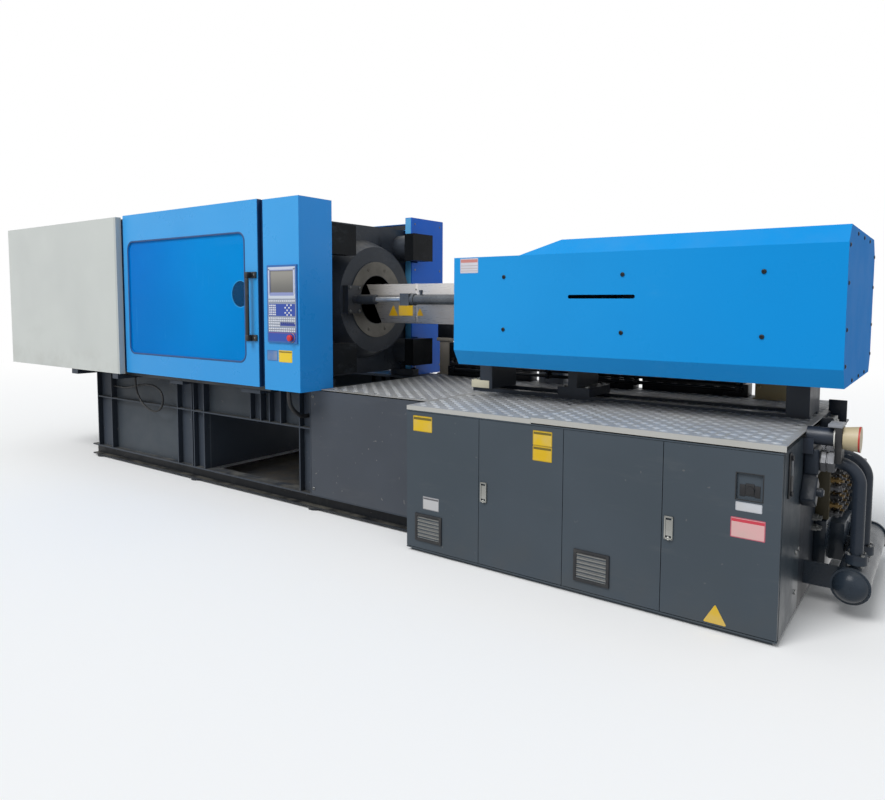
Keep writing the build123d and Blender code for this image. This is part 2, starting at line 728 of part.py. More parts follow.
def platen_outline(x, waist):
    """The platen's outline in Y and Z: a square with chamfered corners and drawn-in sides."""
    w, h, c = PLATEN_HALF_WIDTH, PLATEN_HALF_HEIGHT, PLATEN_CORNER
    bay = h - CAP_HEIGHT - c
    with BuildSketch(Plane.YZ.offset(x)) as outline:
        with BuildLine():
            Polyline((-w, bay), (-w, h - c), (-w + c, h), (w - c, h), (w, h - c), (w, bay))
            ThreePointArc((w, bay), (w - waist, 0), (w, -bay))
            Polyline((w, -bay), (w, c - h), (w - c, -h), (c - w, -h), (-w, c - h), (-w, -bay))
            ThreePointArc((-w, -bay), (waist - w, 0), (-w, bay))
        make_face()
    return outline.sketch


def tie_bar_places():
    """The four tie bars' places in Y and Z about the clamp axis."""
    return [(y, z) for y in (-TIE_BAR_Y, TIE_BAR_Y) for z in (-TIE_BAR_Z, TIE_BAR_Z)]


def mould_holes(x_face, direction):
    """Tapped holes for the mould's clamps, in two rectangles crossed over each other."""
    inner = x_face - direction * MOULD_HOLE_DEPTH
    span = sorted((x_face, inner))
    for far, near in ((MOULD_HOLE_FAR, MOULD_HOLE_NEAR), (MOULD_HOLE_NEAR, MOULD_HOLE_FAR)):
        for y in (-far, far):
            for z in (-near, near):
                bar_x(span, y, axis_z + z, MOULD_HOLE_RADIUS, Mode.SUBTRACT)


def platen_feet(x, bottom):
    """Two feet on the bed's ways."""
    for y in both((FOOT_INNER_Y, PLATEN_HALF_WIDTH - PLATEN_CORNER)):
        block(x, y, (bottom, axis_z - PLATEN_HALF_HEIGHT))


lug_inner_y = (REAR_ARM_INNER_Y - SIDE_GAP - LUG_WIDTH, REAR_ARM_INNER_Y - SIDE_GAP)
lug_outer_y = (rear_arm_outer_y + SIDE_GAP, rear_arm_outer_y + SIDE_GAP + LUG_WIDTH)
platen_lug_inner_y = (front_arm_inner_y - SIDE_GAP - LUG_WIDTH, front_arm_inner_y - SIDE_GAP)
platen_lug_outer_y = (front_arm_outer_y + SIDE_GAP, front_arm_outer_y + SIDE_GAP + LUG_WIDTH)

# Fixed platen: a plate with a round hub, four corner bosses, a raised ring and a conical nozzle well
plate_rear_x = MOULD_FACE_X + FIXED_PLATE_THICKNESS
hub_length = FIXED_PLATEN_THICKNESS - FIXED_PLATE_THICKNESS
with BuildPart() as fixed_platen:
    plate = platen_outline(MOULD_FACE_X, PLATEN_WAIST).moved(Location((0, 0, axis_z)))
    extrude(plate, amount=FIXED_PLATE_THICKNESS)
    hub = ((0, 0), (0, HUB_FOOT_RADIUS), (hub_length, HUB_RADIUS), (hub_length, 0))
    turned_x(hub, plate_rear_x, 0, axis_z)
    for y, z in tie_bar_places():
        bar_x((plate_rear_x, fixed_rear_x), y, axis_z + z, CORNER_BOSS_RADIUS)
    bar_x((fixed_rear_x, fixed_rear_x + RING_PROUD), 0, axis_z, RING_RADIUS)
    platen_feet((MOULD_FACE_X, fixed_rear_x), BED_TOP)
    well = FIXED_PLATEN_THICKNESS + RING_PROUD
    nozzle_well = (
        (0, 0),
        (0, LOCATING_BORE_RADIUS),
        (LOCATING_BORE_DEPTH, LOCATING_BORE_RADIUS),
        (well, CONE_RADIUS),
        (well, 0),
    )
    turned_x(nozzle_well, MOULD_FACE_X, 0, axis_z, Mode.SUBTRACT)
    for y, z in tie_bar_places():
        bore = TIE_BAR_RADIUS + SEAT
        bar_x((MOULD_FACE_X, fixed_rear_x), y, axis_z + z, bore, Mode.SUBTRACT)
    mould_holes(MOULD_FACE_X, -1)
keep(fixed_platen, "fixed_platen")

# Tie bars with their nuts behind the fixed platen
tie_bar_tail_x = tail_back_x - TAIL_NUT_LENGTH - TIE_BAR_TAIL
with BuildPart() as tie_bars:
    for y, z in tie_bar_places():
        bar_x((tie_bar_tail_x, fixed_rear_x + TIE_NUT_LENGTH), y, axis_z + z, TIE_BAR_RADIUS)
        bar_x((fixed_rear_x, fixed_rear_x + TIE_NUT_LENGTH), y, axis_z + z, TIE_NUT_RADIUS)
keep(tie_bars, "tie_bars")

# Corner caps over the tie-bar nuts
with BuildPart() as tie_bar_caps:
    for y in (-CAP_Y, CAP_Y):
        for z in (axis_z - CAP_Z, axis_z + CAP_Z):
            cap_y = (y - CAP_WIDTH / 2, y + CAP_WIDTH / 2)
            cap_z = (z - CAP_HEIGHT / 2, z + CAP_HEIGHT / 2)
            rim_y = (cap_y[0] - CAP_RIM, cap_y[1] + CAP_RIM)
            block((fixed_rear_x, fixed_rear_x + CAP_DEPTH), cap_y, cap_z)
            block((fixed_rear_x + CAP_DEPTH - CAP_WALL, fixed_rear_x + CAP_DEPTH), rim_y, cap_z)
            inside_y = (cap_y[0] + CAP_WALL, cap_y[1] - CAP_WALL)
            inside_z = (cap_z[0] + CAP_WALL, cap_z[1] - CAP_WALL)
            block((fixed_rear_x, fixed_rear_x + CAP_DEPTH - CAP_WALL), inside_y, inside_z, Mode.SUBTRACT)
keep(tie_bar_caps, "tie_bar_caps")

# Moving platen: mould face, bushed corners, ejector well and two pairs of lugs a side
with BuildPart() as moving_platen:
    plate = platen_outline(moving_back_x, PLATEN_WAIST).moved(Location((0, 0, axis_z)))
    extrude(plate, amount=MOVING_PLATEN_THICKNESS)
    for z in (axis_z - PIVOT_HEIGHT, axis_z + PIVOT_HEIGHT):
        for span in (platen_lug_inner_y, platen_lug_outer_y):
            for y in both(span):
                block((platen_pivot_x, moving_back_x), y, (z - EYE_RADIUS, z + EYE_RADIUS))
                bar_y(platen_pivot_x, y, z, EYE_RADIUS)
        pin_y = (-platen_lug_outer_y[1], platen_lug_outer_y[1])
        bar_y(platen_pivot_x, pin_y, z, TOGGLE_PIN_RADIUS + SEAT, Mode.SUBTRACT)
    for y, z in tie_bar_places():
        bore = TIE_BAR_RADIUS + GAP
        bar_x((moving_back_x, moving_face_x), y, axis_z + z, bore, Mode.SUBTRACT)
    well_x = (moving_back_x, moving_back_x + EJECTOR_POCKET_DEPTH)
    well_half_y = EJECTOR_HALF_Y + EJECTOR_WELL_MARGIN
    well_half_z = EJECTOR_HALF_Z + EJECTOR_WELL_MARGIN
    block(well_x, (-well_half_y, well_half_y), (axis_z - well_half_z, axis_z + well_half_z), Mode.SUBTRACT)
    for z in (-EJECTOR_PIN_Z, EJECTOR_PIN_Z):
        bar_x((moving_back_x, moving_face_x), 0, axis_z + z, EJECTOR_PIN_RADIUS + RUNNING, Mode.SUBTRACT)
    bar_x((moving_back_x, moving_face_x), 0, axis_z, EJECTOR_HOLE_RADIUS, Mode.SUBTRACT)
    platen_feet((moving_back_x, moving_face_x), BED_TOP + GAP)
    mould_holes(moving_face_x, 1)
keep(moving_platen, "moving_platen")

with BuildPart() as platen_pins:
    for z in (axis_z - PIVOT_HEIGHT, axis_z + PIVOT_HEIGHT):
        bar_y(platen_pivot_x, (-platen_lug_outer_y[1], platen_lug_outer_y[1]), z, TOGGLE_PIN_RADIUS)
keep(platen_pins, "platen_pins")

# Ejector: a cylinder on a bridge across the well, and a plate with two pins
bridge_x = (moving_back_x - EJECTOR_PLATE, moving_back_x)
ejector_cylinder_x = (bridge_x[0] - EJECTOR_CYLINDER_LENGTH, bridge_x[0])
with BuildPart() as ejector_cylinder:
    bridge_half_y = well_half_y + EJECTOR_WELL_MARGIN
    bridge_z = (axis_z - EJECTOR_BRIDGE_HALF_Z, axis_z + EJECTOR_BRIDGE_HALF_Z)
    block(bridge_x, (-bridge_half_y, bridge_half_y), bridge_z)
    bar_x(ejector_cylinder_x, 0, axis_z, EJECTOR_CYLINDER_RADIUS)
    rod_room_x = (ejector_cylinder_x[0] + FLANGE, bridge_x[1])
    bar_x(rod_room_x, 0, axis_z, EJECTOR_ROD_RADIUS + RUNNING, Mode.SUBTRACT)
keep(ejector_cylinder, "ejector_cylinder")

ejector_plate_x = (moving_back_x + SWING, moving_back_x + SWING + EJECTOR_PLATE)
with BuildPart() as ejector_plate:
    block(
        ejector_plate_x,
        (-EJECTOR_HALF_Y, EJECTOR_HALF_Y),
        (axis_z - EJECTOR_HALF_Z, axis_z + EJECTOR_HALF_Z),
    )
    bar_x((ejector_cylinder_x[0] + FLANGE + SWING, ejector_plate_x[0]), 0, axis_z, EJECTOR_ROD_RADIUS)
    for z in (-EJECTOR_PIN_Z, EJECTOR_PIN_Z):
        bar_x((ejector_plate_x[1], moving_face_x - SWING), 0, axis_z + z, EJECTOR_PIN_RADIUS)
keep(ejector_plate, "ejector_plate")

# Tail platen: bored corners, a window for the crosshead, lugs for the rear links
with BuildPart() as tail_platen:
    plate = platen_outline(tail_back_x, TAIL_WAIST).moved(Location((0, 0, axis_z)))
    extrude(plate, amount=TAIL_PLATEN_THICKNESS)
    for z in (axis_z - PIVOT_HEIGHT, axis_z + PIVOT_HEIGHT):
        for span in (lug_inner_y, lug_outer_y):
            for y in both(span):
                block((tail_front_x, tail_pivot_x), y, (z - EYE_RADIUS, z + EYE_RADIUS))
                bar_y(tail_pivot_x, y, z, EYE_RADIUS)
        bar_y(tail_pivot_x, (-lug_outer_y[1], lug_outer_y[1]), z, TOGGLE_PIN_RADIUS + SEAT, Mode.SUBTRACT)
    for y, z in tie_bar_places():
        bore = TIE_BAR_RADIUS + GAP
        bar_x((tail_back_x, tail_front_x), y, axis_z + z, bore, Mode.SUBTRACT)
    through = (tail_back_x, tail_front_x)
    window_z = (axis_z - WINDOW_HALF_Z, axis_z + WINDOW_HALF_Z)
    block(through, (-WINDOW_HALF_Y, WINDOW_HALF_Y), window_z, Mode.SUBTRACT)
    slot_z = (axis_z - SLOT_HALF_Z, axis_z + SLOT_HALF_Z)
    block(through, (-SLOT_HALF_Y, SLOT_HALF_Y), slot_z, Mode.SUBTRACT)
    platen_feet((tail_back_x, tail_front_x), BED_TOP + GAP)
keep(tail_platen, "tail_platen")

with BuildPart() as tail_nuts:
    for y, z in tie_bar_places():
        bar_x((tail_back_x - TAIL_NUT_LENGTH, tail_back_x), y, axis_z + z, TAIL_NUT_RADIUS)
        bore = TIE_BAR_RADIUS + GAP
        bar_x((tail_back_x - TAIL_NUT_LENGTH, tail_back_x), y, axis_z + z, bore, Mode.SUBTRACT)
keep(tail_nuts, "tail_nuts")

with BuildPart() as tail_pins:
    for z in (axis_z - PIVOT_HEIGHT, axis_z + PIVOT_HEIGHT):
        bar_y(tail_pivot_x, (-lug_outer_y[1], lug_outer_y[1]), z, TOGGLE_PIN_RADIUS)
keep(tail_pins, "tail_pins")

# Clamp cylinder behind the tail platen; its rod drives the crosshead
cylinder_x = (tail_back_x - CLAMP_FLANGE - CLAMP_CYLINDER_LENGTH, tail_back_x)
head_x = tail_back_x - CLAMP_FLANGE
with BuildPart() as clamp_cylinder:
    flange_z = (axis_z - CLAMP_FLANGE_HALF_Z, axis_z + CLAMP_FLANGE_HALF_Z)
    block((head_x, tail_back_x), (-CLAMP_FLANGE_HALF_Y, CLAMP_FLANGE_HALF_Y), flange_z)
    bar_x((cylinder_x[0], head_x), 0, axis_z, CLAMP_CYLINDER_RADIUS)
    for x in (cylinder_x[0], head_x - CLAMP_FLANGE):
        bar_x((x, x + CLAMP_FLANGE), 0, axis_z, CLAMP_CYLINDER_RADIUS + CLAMP_HEAD_RIM)
    bar_x((cylinder_x[0] + CLAMP_FLANGE, head_x - CLAMP_FLANGE), 0, axis_z, CLAMP_BORE_RADIUS, Mode.SUBTRACT)
    bar_x((head_x - CLAMP_FLANGE, tail_back_x), 0, axis_z, CLAMP_ROD_RADIUS + RUNNING, Mode.SUBTRACT)
    for y in (-GUIDE_ROD_Y, GUIDE_ROD_Y):
        bar_x((head_x, tail_back_x), y, axis_z, GUIDE_ROD_RADIUS + SEAT, Mode.SUBTRACT)
keep(clamp_cylinder, "clamp_cylinder")

with BuildPart() as crosshead_guides:
    for y in (-GUIDE_ROD_Y, GUIDE_ROD_Y):
        bar_x((head_x, tail_front_x + GUIDE_ROD_AHEAD), y, axis_z, GUIDE_ROD_RADIUS)
keep(crosshead_guides, "crosshead_guides")

# Crosshead with its ears, pins and rod
cross_x = tail_pivot_x + CROSS_PIN_X
ear_y = (CROSS_LINK_HALF + SIDE_GAP, CROSS_LINK_HALF + SIDE_GAP + CROSS_EAR_WIDTH)
with BuildPart() as crosshead:
    body_x = (cross_x - CROSSHEAD_HALF, cross_x + CROSSHEAD_HALF)
    bar_end_y = GUIDE_ROD_Y + 2 * GUIDE_ROD_RADIUS
    block(body_x, (-bar_end_y, bar_end_y), (axis_z - CROSSHEAD_ARM_HALF_Z, axis_z + CROSSHEAD_ARM_HALF_Z))
    ear_ends = [(cross_x, axis_z + s * CROSS_PIN_Z, CROSS_EYE_RADIUS) for s in (-1, 1)]
    for y in both(ear_y):
        eye_plate(ear_ends, y)
    for s in (-1, 1):
        bar_y(cross_x, (-ear_y[1], ear_y[1]), axis_z + s * CROSS_PIN_Z, CROSS_PIN_RADIUS)
    for y in (-GUIDE_ROD_Y, GUIDE_ROD_Y):
        bar_x(body_x, y, axis_z, GUIDE_ROD_RADIUS + RUNNING, Mode.SUBTRACT)
    piston_x = cylinder_x[0] + CLAMP_FLANGE + SWING
    bar_x((piston_x, body_x[0]), 0, axis_z, CLAMP_ROD_RADIUS)
    bar_x((piston_x, piston_x + PISTON_LENGTH), 0, axis_z, CLAMP_BORE_RADIUS - RUNNING)
keep(crosshead, "crosshead")

# Toggle links. At rest the clamp is open and the links are folded towards the axis.
elbow_dx = LINK_LENGTH * cos(open_angle)
elbow_dz = LINK_LENGTH * sin(open_angle)
lobe_angle = open_angle + radians(LOBE_ANGLE)
lobe_dx = LOBE_LENGTH * cos(lobe_angle)
lobe_dz = LOBE_LENGTH * sin(lobe_angle)
elbow_x = tail_pivot_x + elbow_dx
lobe_boss_y = (CROSS_LINK_HALF + SIDE_GAP, REAR_ARM_INNER_Y)


def rear_link(side):
    """Rear link: two arms from the tail platen to the elbow, joined by a web, each with a lobe."""
    pivot_z = axis_z + side * PIVOT_HEIGHT
    elbow_z = pivot_z - side * elbow_dz
    lobe = (tail_pivot_x + lobe_dx, pivot_z - side * lobe_dz)
    along = REAR_WEB_ALONG / LINK_LENGTH
    web_at = (tail_pivot_x + along * elbow_dx, pivot_z - side * along * elbow_dz)
    with BuildPart() as link:
        for y in both((REAR_ARM_INNER_Y, rear_arm_outer_y)):
            eye_plate(((tail_pivot_x, pivot_z, EYE_RADIUS), (elbow_x, elbow_z, ELBOW_EYE_RADIUS)), y)
            eye_plate(((tail_pivot_x, pivot_z, LOBE_EYE_RADIUS), (*lobe, LOBE_EYE_RADIUS)), y)
        for y in both(lobe_boss_y):
            bar_y(lobe[0], y, lobe[1], LOBE_EYE_RADIUS)
        half = WEB_THICKNESS / 2
        bar_y(web_at[0], (-REAR_ARM_INNER_Y, REAR_ARM_INNER_Y), web_at[1], half)
        full = (-rear_arm_outer_y, rear_arm_outer_y)
        bar_y(tail_pivot_x, full, pivot_z, TOGGLE_PIN_RADIUS + RUNNING, Mode.SUBTRACT)
        bar_y(elbow_x, full, elbow_z, ELBOW_PIN_RADIUS + SEAT, Mode.SUBTRACT)
        bar_y(lobe[0], full, lobe[1], LOBE_PIN_RADIUS + SEAT, Mode.SUBTRACT)
    return link


def link_pins(side):
    """The elbow pin and the lobe pin, held in the rear link."""
    pivot_z = axis_z + side * PIVOT_HEIGHT
    with BuildPart() as pins:
        elbow_y = (-front_arm_outer_y, front_arm_outer_y)
        bar_y(elbow_x, elbow_y, pivot_z - side * elbow_dz, ELBOW_PIN_RADIUS)
        lobe_y = (-rear_arm_outer_y, rear_arm_outer_y)
        bar_y(tail_pivot_x + lobe_dx, lobe_y, pivot_z - side * lobe_dz, LOBE_PIN_RADIUS)
    return pins


def front_link(side, open_pivot):
    """Front link: two outer arms from the elbow to the moving platen, joined by a web."""
    pivot_z = axis_z + side * PIVOT_HEIGHT
    elbow_z = pivot_z - side * elbow_dz
    along = FRONT_WEB_ALONG / LINK_LENGTH
    web_at = (elbow_x + along * elbow_dx, elbow_z + side * along * elbow_dz)
    with BuildPart() as link:
        for y in both((front_arm_inner_y, front_arm_outer_y)):
            eye_plate(((platen_pivot_x, pivot_z, EYE_RADIUS), (elbow_x, elbow_z, ELBOW_EYE_RADIUS)), y)
        bar_y(web_at[0], (-front_arm_inner_y, front_arm_inner_y), web_at[1], WEB_THICKNESS / 2)
        full = (-front_arm_outer_y, front_arm_outer_y)
        bar_y(platen_pivot_x, full, pivot_z, TOGGLE_PIN_RADIUS + open_pivot, Mode.SUBTRACT)
        bar_y(elbow_x, full, elbow_z, ELBOW_PIN_RADIUS + RUNNING, Mode.SUBTRACT)
    return link


def crosshead_link(side):
    """Short link from the crosshead's pin to the rear link's lobe, with play at the lobe."""
    angle = radians(CROSS_LINK_ANGLE)
    pin_z = axis_z + side * CROSS_PIN_Z
    far_x = cross_x + CROSS_LINK_LENGTH * cos(angle)
    far_z = pin_z + side * CROSS_LINK_LENGTH * sin(angle)
    with BuildPart() as link:
        y = (-CROSS_LINK_HALF, CROSS_LINK_HALF)
        eye_plate(((cross_x, pin_z, CROSS_EYE_RADIUS), (far_x, far_z, CROSS_EYE_RADIUS)), y)
        bar_y(cross_x, y, pin_z, CROSS_PIN_RADIUS + RUNNING, Mode.SUBTRACT)
        bar_y(far_x, y, far_z, LOBE_PIN_RADIUS + CROSS_LINK_PLAY, Mode.SUBTRACT)
    return link


keep(rear_link(1), "rear_link_upper")
keep(rear_link(-1), "rear_link_lower")
keep(link_pins(1), "upper_link_pins")
keep(link_pins(-1), "lower_link_pins")
keep(front_link(1, RUNNING), "front_link_upper")
keep(front_link(-1, GAP), "front_link_lower")
keep(crosshead_link(1), "crosshead_link_upper")
keep(crosshead_link(-1), "crosshead_link_lower")


def clamp_side_cover(side):
    """Folded sheet on one side of the clamp, with a return flange on each free edge."""
    outer = side * COVER_HALF_WIDTH
    skin = sorted((outer, outer - side * COVER_SHEET))
    lip = sorted((outer, outer - side * COVER_FLANGE))
    with BuildPart() as cover:
        block((COVER_LEFT_X, cover_right_x), skin, (cover_bottom, cover_top))
        block((cover_right_x - COVER_SHEET, cover_right_x), lip, (cover_bottom, cover_top))
        block((COVER_LEFT_X, cover_right_x), lip, (cover_bottom, cover_bottom + COVER_SHEET))
        block((COVER_LEFT_X, cover_right_x), lip, (cover_top - COVER_SHEET, cover_top))
    return cover


keep(clamp_side_cover(-1), "clamp_cover_front")
keep(clamp_side_cover(1), "clamp_cover_rear")

# Roof with an inset end wall; the roof narrows where the doors slide past it
with BuildPart() as clamp_cover_roof:
    roof_z = (cover_top - 2 * COVER_SHEET, cover_top - COVER_SHEET)
    end_x = (COVER_LEFT_X + END_WALL_INSET, COVER_LEFT_X + END_WALL_INSET + COVER_SHEET)
    block((COVER_LEFT_X, COVER_LEFT_X + ROOF_FULL_LENGTH), (-cover_inner_y, cover_inner_y), roof_z)
    block((COVER_LEFT_X, cover_right_x), (-RAIL_INNER_Y, RAIL_INNER_Y), roof_z)
    block(end_x, (-cover_inner_y, cover_inner_y), (cover_bottom + COVER_SHEET, roof_z[1]))
keep(clamp_cover_roof, "clamp_cover_roof")

# Door rails: flat bars on the bed's arms and under the roof
with BuildPart() as door_rails:
    for y, right_x in ((-rail_outer_y, COLUMN_LEFT_X), (RAIL_INNER_Y, REAR_COLUMN_X)):
        span = (y, y + RAIL_THICKNESS)
        block((RAIL_LEFT_X, right_x), span, (arm_top, arm_top + RAIL_HEIGHT))
        block((RAIL_LEFT_X, right_x), span, (top_rail_top - RAIL_HEIGHT, top_rail_top))
keep(door_rails, "door_rails")


def sliding_door(side, length):
    """Folded door with a framed window; grooved shoes guide it on its rails."""
    x = (DOOR_LEFT_X, DOOR_LEFT_X + length)
    face = side * DOOR_FACE_Y
    window_x = (x[0] + WINDOW_INSET_LEFT, x[1] - WINDOW_INSET_RIGHT)
    window_z = (door_bottom + WINDOW_ABOVE, door_bottom + WINDOW_ABOVE + WINDOW_HEIGHT)
    centre = ((window_x[0] + window_x[1]) / 2, (window_z[0] + window_z[1]) / 2)
    width = window_x[1] - window_x[0]
    depth_y = sorted((face, face - side * DOOR_DEPTH))
    with BuildPart() as door:
        block(x, depth_y, (door_bottom, door_top))
        with BuildSketch(Plane.XZ.offset(-depth_y[1])) as pocket:
            with Locations(((x[0] + x[1]) / 2, (door_bottom + door_top) / 2)):
                Rectangle(length - 2 * DOOR_SKIN, DOOR_HEIGHT - 2 * DOOR_SKIN)
            with Locations(centre):
                rim_size = (width + 2 * WINDOW_RIM, WINDOW_HEIGHT + 2 * WINDOW_RIM)
                RectangleRounded(*rim_size, WINDOW_CORNER + WINDOW_RIM, mode=Mode.SUBTRACT)
        sunk = pocket.sketch.moved(Location((0, 0 if side < 0 else -DOOR_SKIN, 0)))
        extrude(sunk, amount=DOOR_DEPTH - DOOR_SKIN, mode=Mode.SUBTRACT)
        with BuildSketch(Plane.XZ.offset(-depth_y[1])) as window:
            with Locations(centre):
                RectangleRounded(width, WINDOW_HEIGHT, WINDOW_CORNER)
        extrude(window.sketch, amount=DOOR_DEPTH, mode=Mode.SUBTRACT)
        for shoe_x in (x[0] + SHOE_FROM_END, x[1] - SHOE_FROM_END - SHOE_LENGTH):
            span = (shoe_x, shoe_x + SHOE_LENGTH)
            shoe_y = sorted((side * (DOOR_FACE_Y - DOOR_SKIN), side * (RAIL_INNER_Y - SHOE_WALL)))
            groove_y = sorted((side * (rail_outer_y + GAP), side * (RAIL_INNER_Y - GAP)))
            rail_top = arm_top + RAIL_HEIGHT
            block(span, shoe_y, (rail_top - SHOE_GRIP, rail_top + 2 * SHOE_GRIP))
            block(span, groove_y, (rail_top - SHOE_GRIP, rail_top + GAP), Mode.SUBTRACT)
            rail_foot = top_rail_top - RAIL_HEIGHT
            block(span, shoe_y, (rail_foot - 2 * SHOE_GRIP, rail_foot + SHOE_GRIP))
            block(span, groove_y, (rail_foot - GAP, rail_foot + SHOE_GRIP), Mode.SUBTRACT)
    with BuildPart() as pane:
        inside = face - side * PANE_BEHIND
        pane_y = sorted((inside, inside - side * PANE_THICKNESS))
        with BuildSketch(Plane.XZ.offset(-pane_y[1])) as glass:
            with Locations(centre):
                RectangleRounded(width - 2 * GAP, WINDOW_HEIGHT - 2 * GAP, WINDOW_CORNER - GAP)
        extrude(glass.sketch, amount=PANE_THICKNESS)
    return door, pane


front_door, front_window = sliding_door(-1, DOOR_LENGTH)
rear_door, rear_window = sliding_door(1, REAR_DOOR_LENGTH)
keep(front_door, "front_door")
keep(front_window, "front_window")
keep(rear_door, "rear_door")
keep(rear_window, "rear_window")

# Door handle: an upright bar between two brackets
handle_x = DOOR_LEFT_X + DOOR_LENGTH - HANDLE_FROM_RIGHT
handle_z = (door_bottom + HANDLE_BOTTOM, door_bottom + HANDLE_BOTTOM + HANDLE_LENGTH)
handle_y = -DOOR_FACE_Y - HANDLE_STANDOFF
with BuildPart() as door_handle:
    bar_z(handle_x, handle_y, handle_z, HANDLE_BAR_RADIUS)
    for z in (handle_z[0], handle_z[1] - HANDLE_BRACKET_HEIGHT):
        span = (z, z + HANDLE_BRACKET_HEIGHT)
        half = HANDLE_BRACKET_WIDTH / 2
        block((handle_x - half, handle_x + half), (-DOOR_FACE_Y - FLANGE, -DOOR_FACE_Y), span)
        block((handle_x - HANDLE_BAR_RADIUS, handle_x + HANDLE_BAR_RADIUS), (handle_y, -DOOR_FACE_Y), span)
keep(door_handle, "door_handle")

# Operator column: a folded upright, open to the machine, with a foot and a head
column_x = (COLUMN_LEFT_X, COLUMN_LEFT_X + COLUMN_WIDTH)
column_y = (COLUMN_FACE_Y, COLUMN_FACE_Y + COLUMN_DEPTH)
column_z = (column_bottom, column_bottom + COLUMN_HEIGHT)
with BuildPart() as operator_column:
    block(column_x, column_y, column_z)
    hollow_x = (column_x[0] + COLUMN_WALL, column_x[1] - COLUMN_WALL)
    hollow_z = (column_z[0] + COLUMN_WALL, column_z[1] - COLUMN_WALL)
    block(hollow_x, (column_y[0] + COLUMN_WALL, column_y[1] - COLUMN_WALL), hollow_z, Mode.SUBTRACT)
    back_x = (column_x[0] + COLUMN_RETURN, column_x[1] - COLUMN_RETURN)
    back_z = (column_z[0] + COLUMN_RETURN, column_z[1] - COLUMN_RETURN)
    block(back_x, (column_y[1] - COLUMN_WALL, column_y[1]), back_z, Mode.SUBTRACT)
keep(operator_column, "operator_column")

with BuildPart() as rear_column:
    rear_column_y = (DOOR_FACE_Y - REAR_COLUMN_DEPTH, DOOR_FACE_Y)
    rear_column_x = (REAR_COLUMN_X, REAR_COLUMN_X + REAR_COLUMN_WIDTH)
    block(rear_column_x, rear_column_y, (BED_TOP, BED_TOP + REAR_COLUMN_HEIGHT))
    hollow_y = (rear_column_y[0] + COLUMN_WALL, rear_column_y[1] - COLUMN_WALL)
    hollow_z = (BED_TOP, BED_TOP + REAR_COLUMN_HEIGHT - COLUMN_WALL)
    block((rear_column_x[0] + COLUMN_WALL, rear_column_x[1] - COLUMN_WALL), hollow_y, hollow_z, Mode.SUBTRACT)
    notch_y = (rear_column_y[0], TIE_BAR_Y + CORNER_BOSS_RADIUS + FLANGE)
    for z in (axis_z - TIE_BAR_Z, axis_z + TIE_BAR_Z):
        notch_z = (z - CORNER_BOSS_RADIUS - FLANGE, z + CORNER_BOSS_RADIUS + FLANGE)
        block(rear_column_x, notch_y, notch_z, Mode.SUBTRACT)
    foot_notch_y = (rear_column_y[0], PLATEN_HALF_WIDTH - PLATEN_CORNER + FLANGE)
    foot_notch_z = (BED_TOP, axis_z - PLATEN_HALF_HEIGHT + FLANGE)
    block(rear_column_x, foot_notch_y, foot_notch_z, Mode.SUBTRACT)
keep(rear_column, "rear_column")

# Control panel: a plate with a sunk screen, a sunk key field and a collar for the stop button
panel_y = (COLUMN_FACE_Y - PANEL_PROUD, COLUMN_FACE_Y)
panel_z = (PANEL_BOTTOM, PANEL_BOTTOM + PANEL_HEIGHT)
with BuildPart() as control_panel:
    block((PANEL_LEFT_X, PANEL_LEFT_X + PANEL_WIDTH), panel_y, panel_z)
    screen_x = (SCREEN_LEFT_X, SCREEN_LEFT_X + SCREEN_WIDTH)
    screen_z = (SCREEN_BOTTOM, SCREEN_BOTTOM + SCREEN_HEIGHT)
    block(screen_x, (panel_y[0], panel_y[0] + SCREEN_DEPTH), screen_z, Mode.SUBTRACT)
    bar_y(ESTOP_X, (panel_y[0] - SCREEN_DEPTH, panel_y[0]), ESTOP_Z, ESTOP_COLLAR_RADIUS)
    stem_y = (panel_y[0] - SCREEN_DEPTH, panel_y[1])
    bar_y(ESTOP_X, stem_y, ESTOP_Z, ESTOP_STEM_RADIUS + RUNNING, Mode.SUBTRACT)
keep(control_panel, "control_panel")

with BuildPart() as estop_button:
    collar_y = panel_y[0] - SCREEN_DEPTH
    head_y = (collar_y - ESTOP_TRAVEL - GAP - ESTOP_HEIGHT / 2, collar_y - ESTOP_TRAVEL - GAP)
    bar_y(ESTOP_X, head_y, ESTOP_Z, ESTOP_RADIUS)
    bar_y(ESTOP_X, (head_y[1], panel_y[1] - ESTOP_TRAVEL - GAP), ESTOP_Z, ESTOP_STEM_RADIUS)
keep(estop_button, "estop_button")


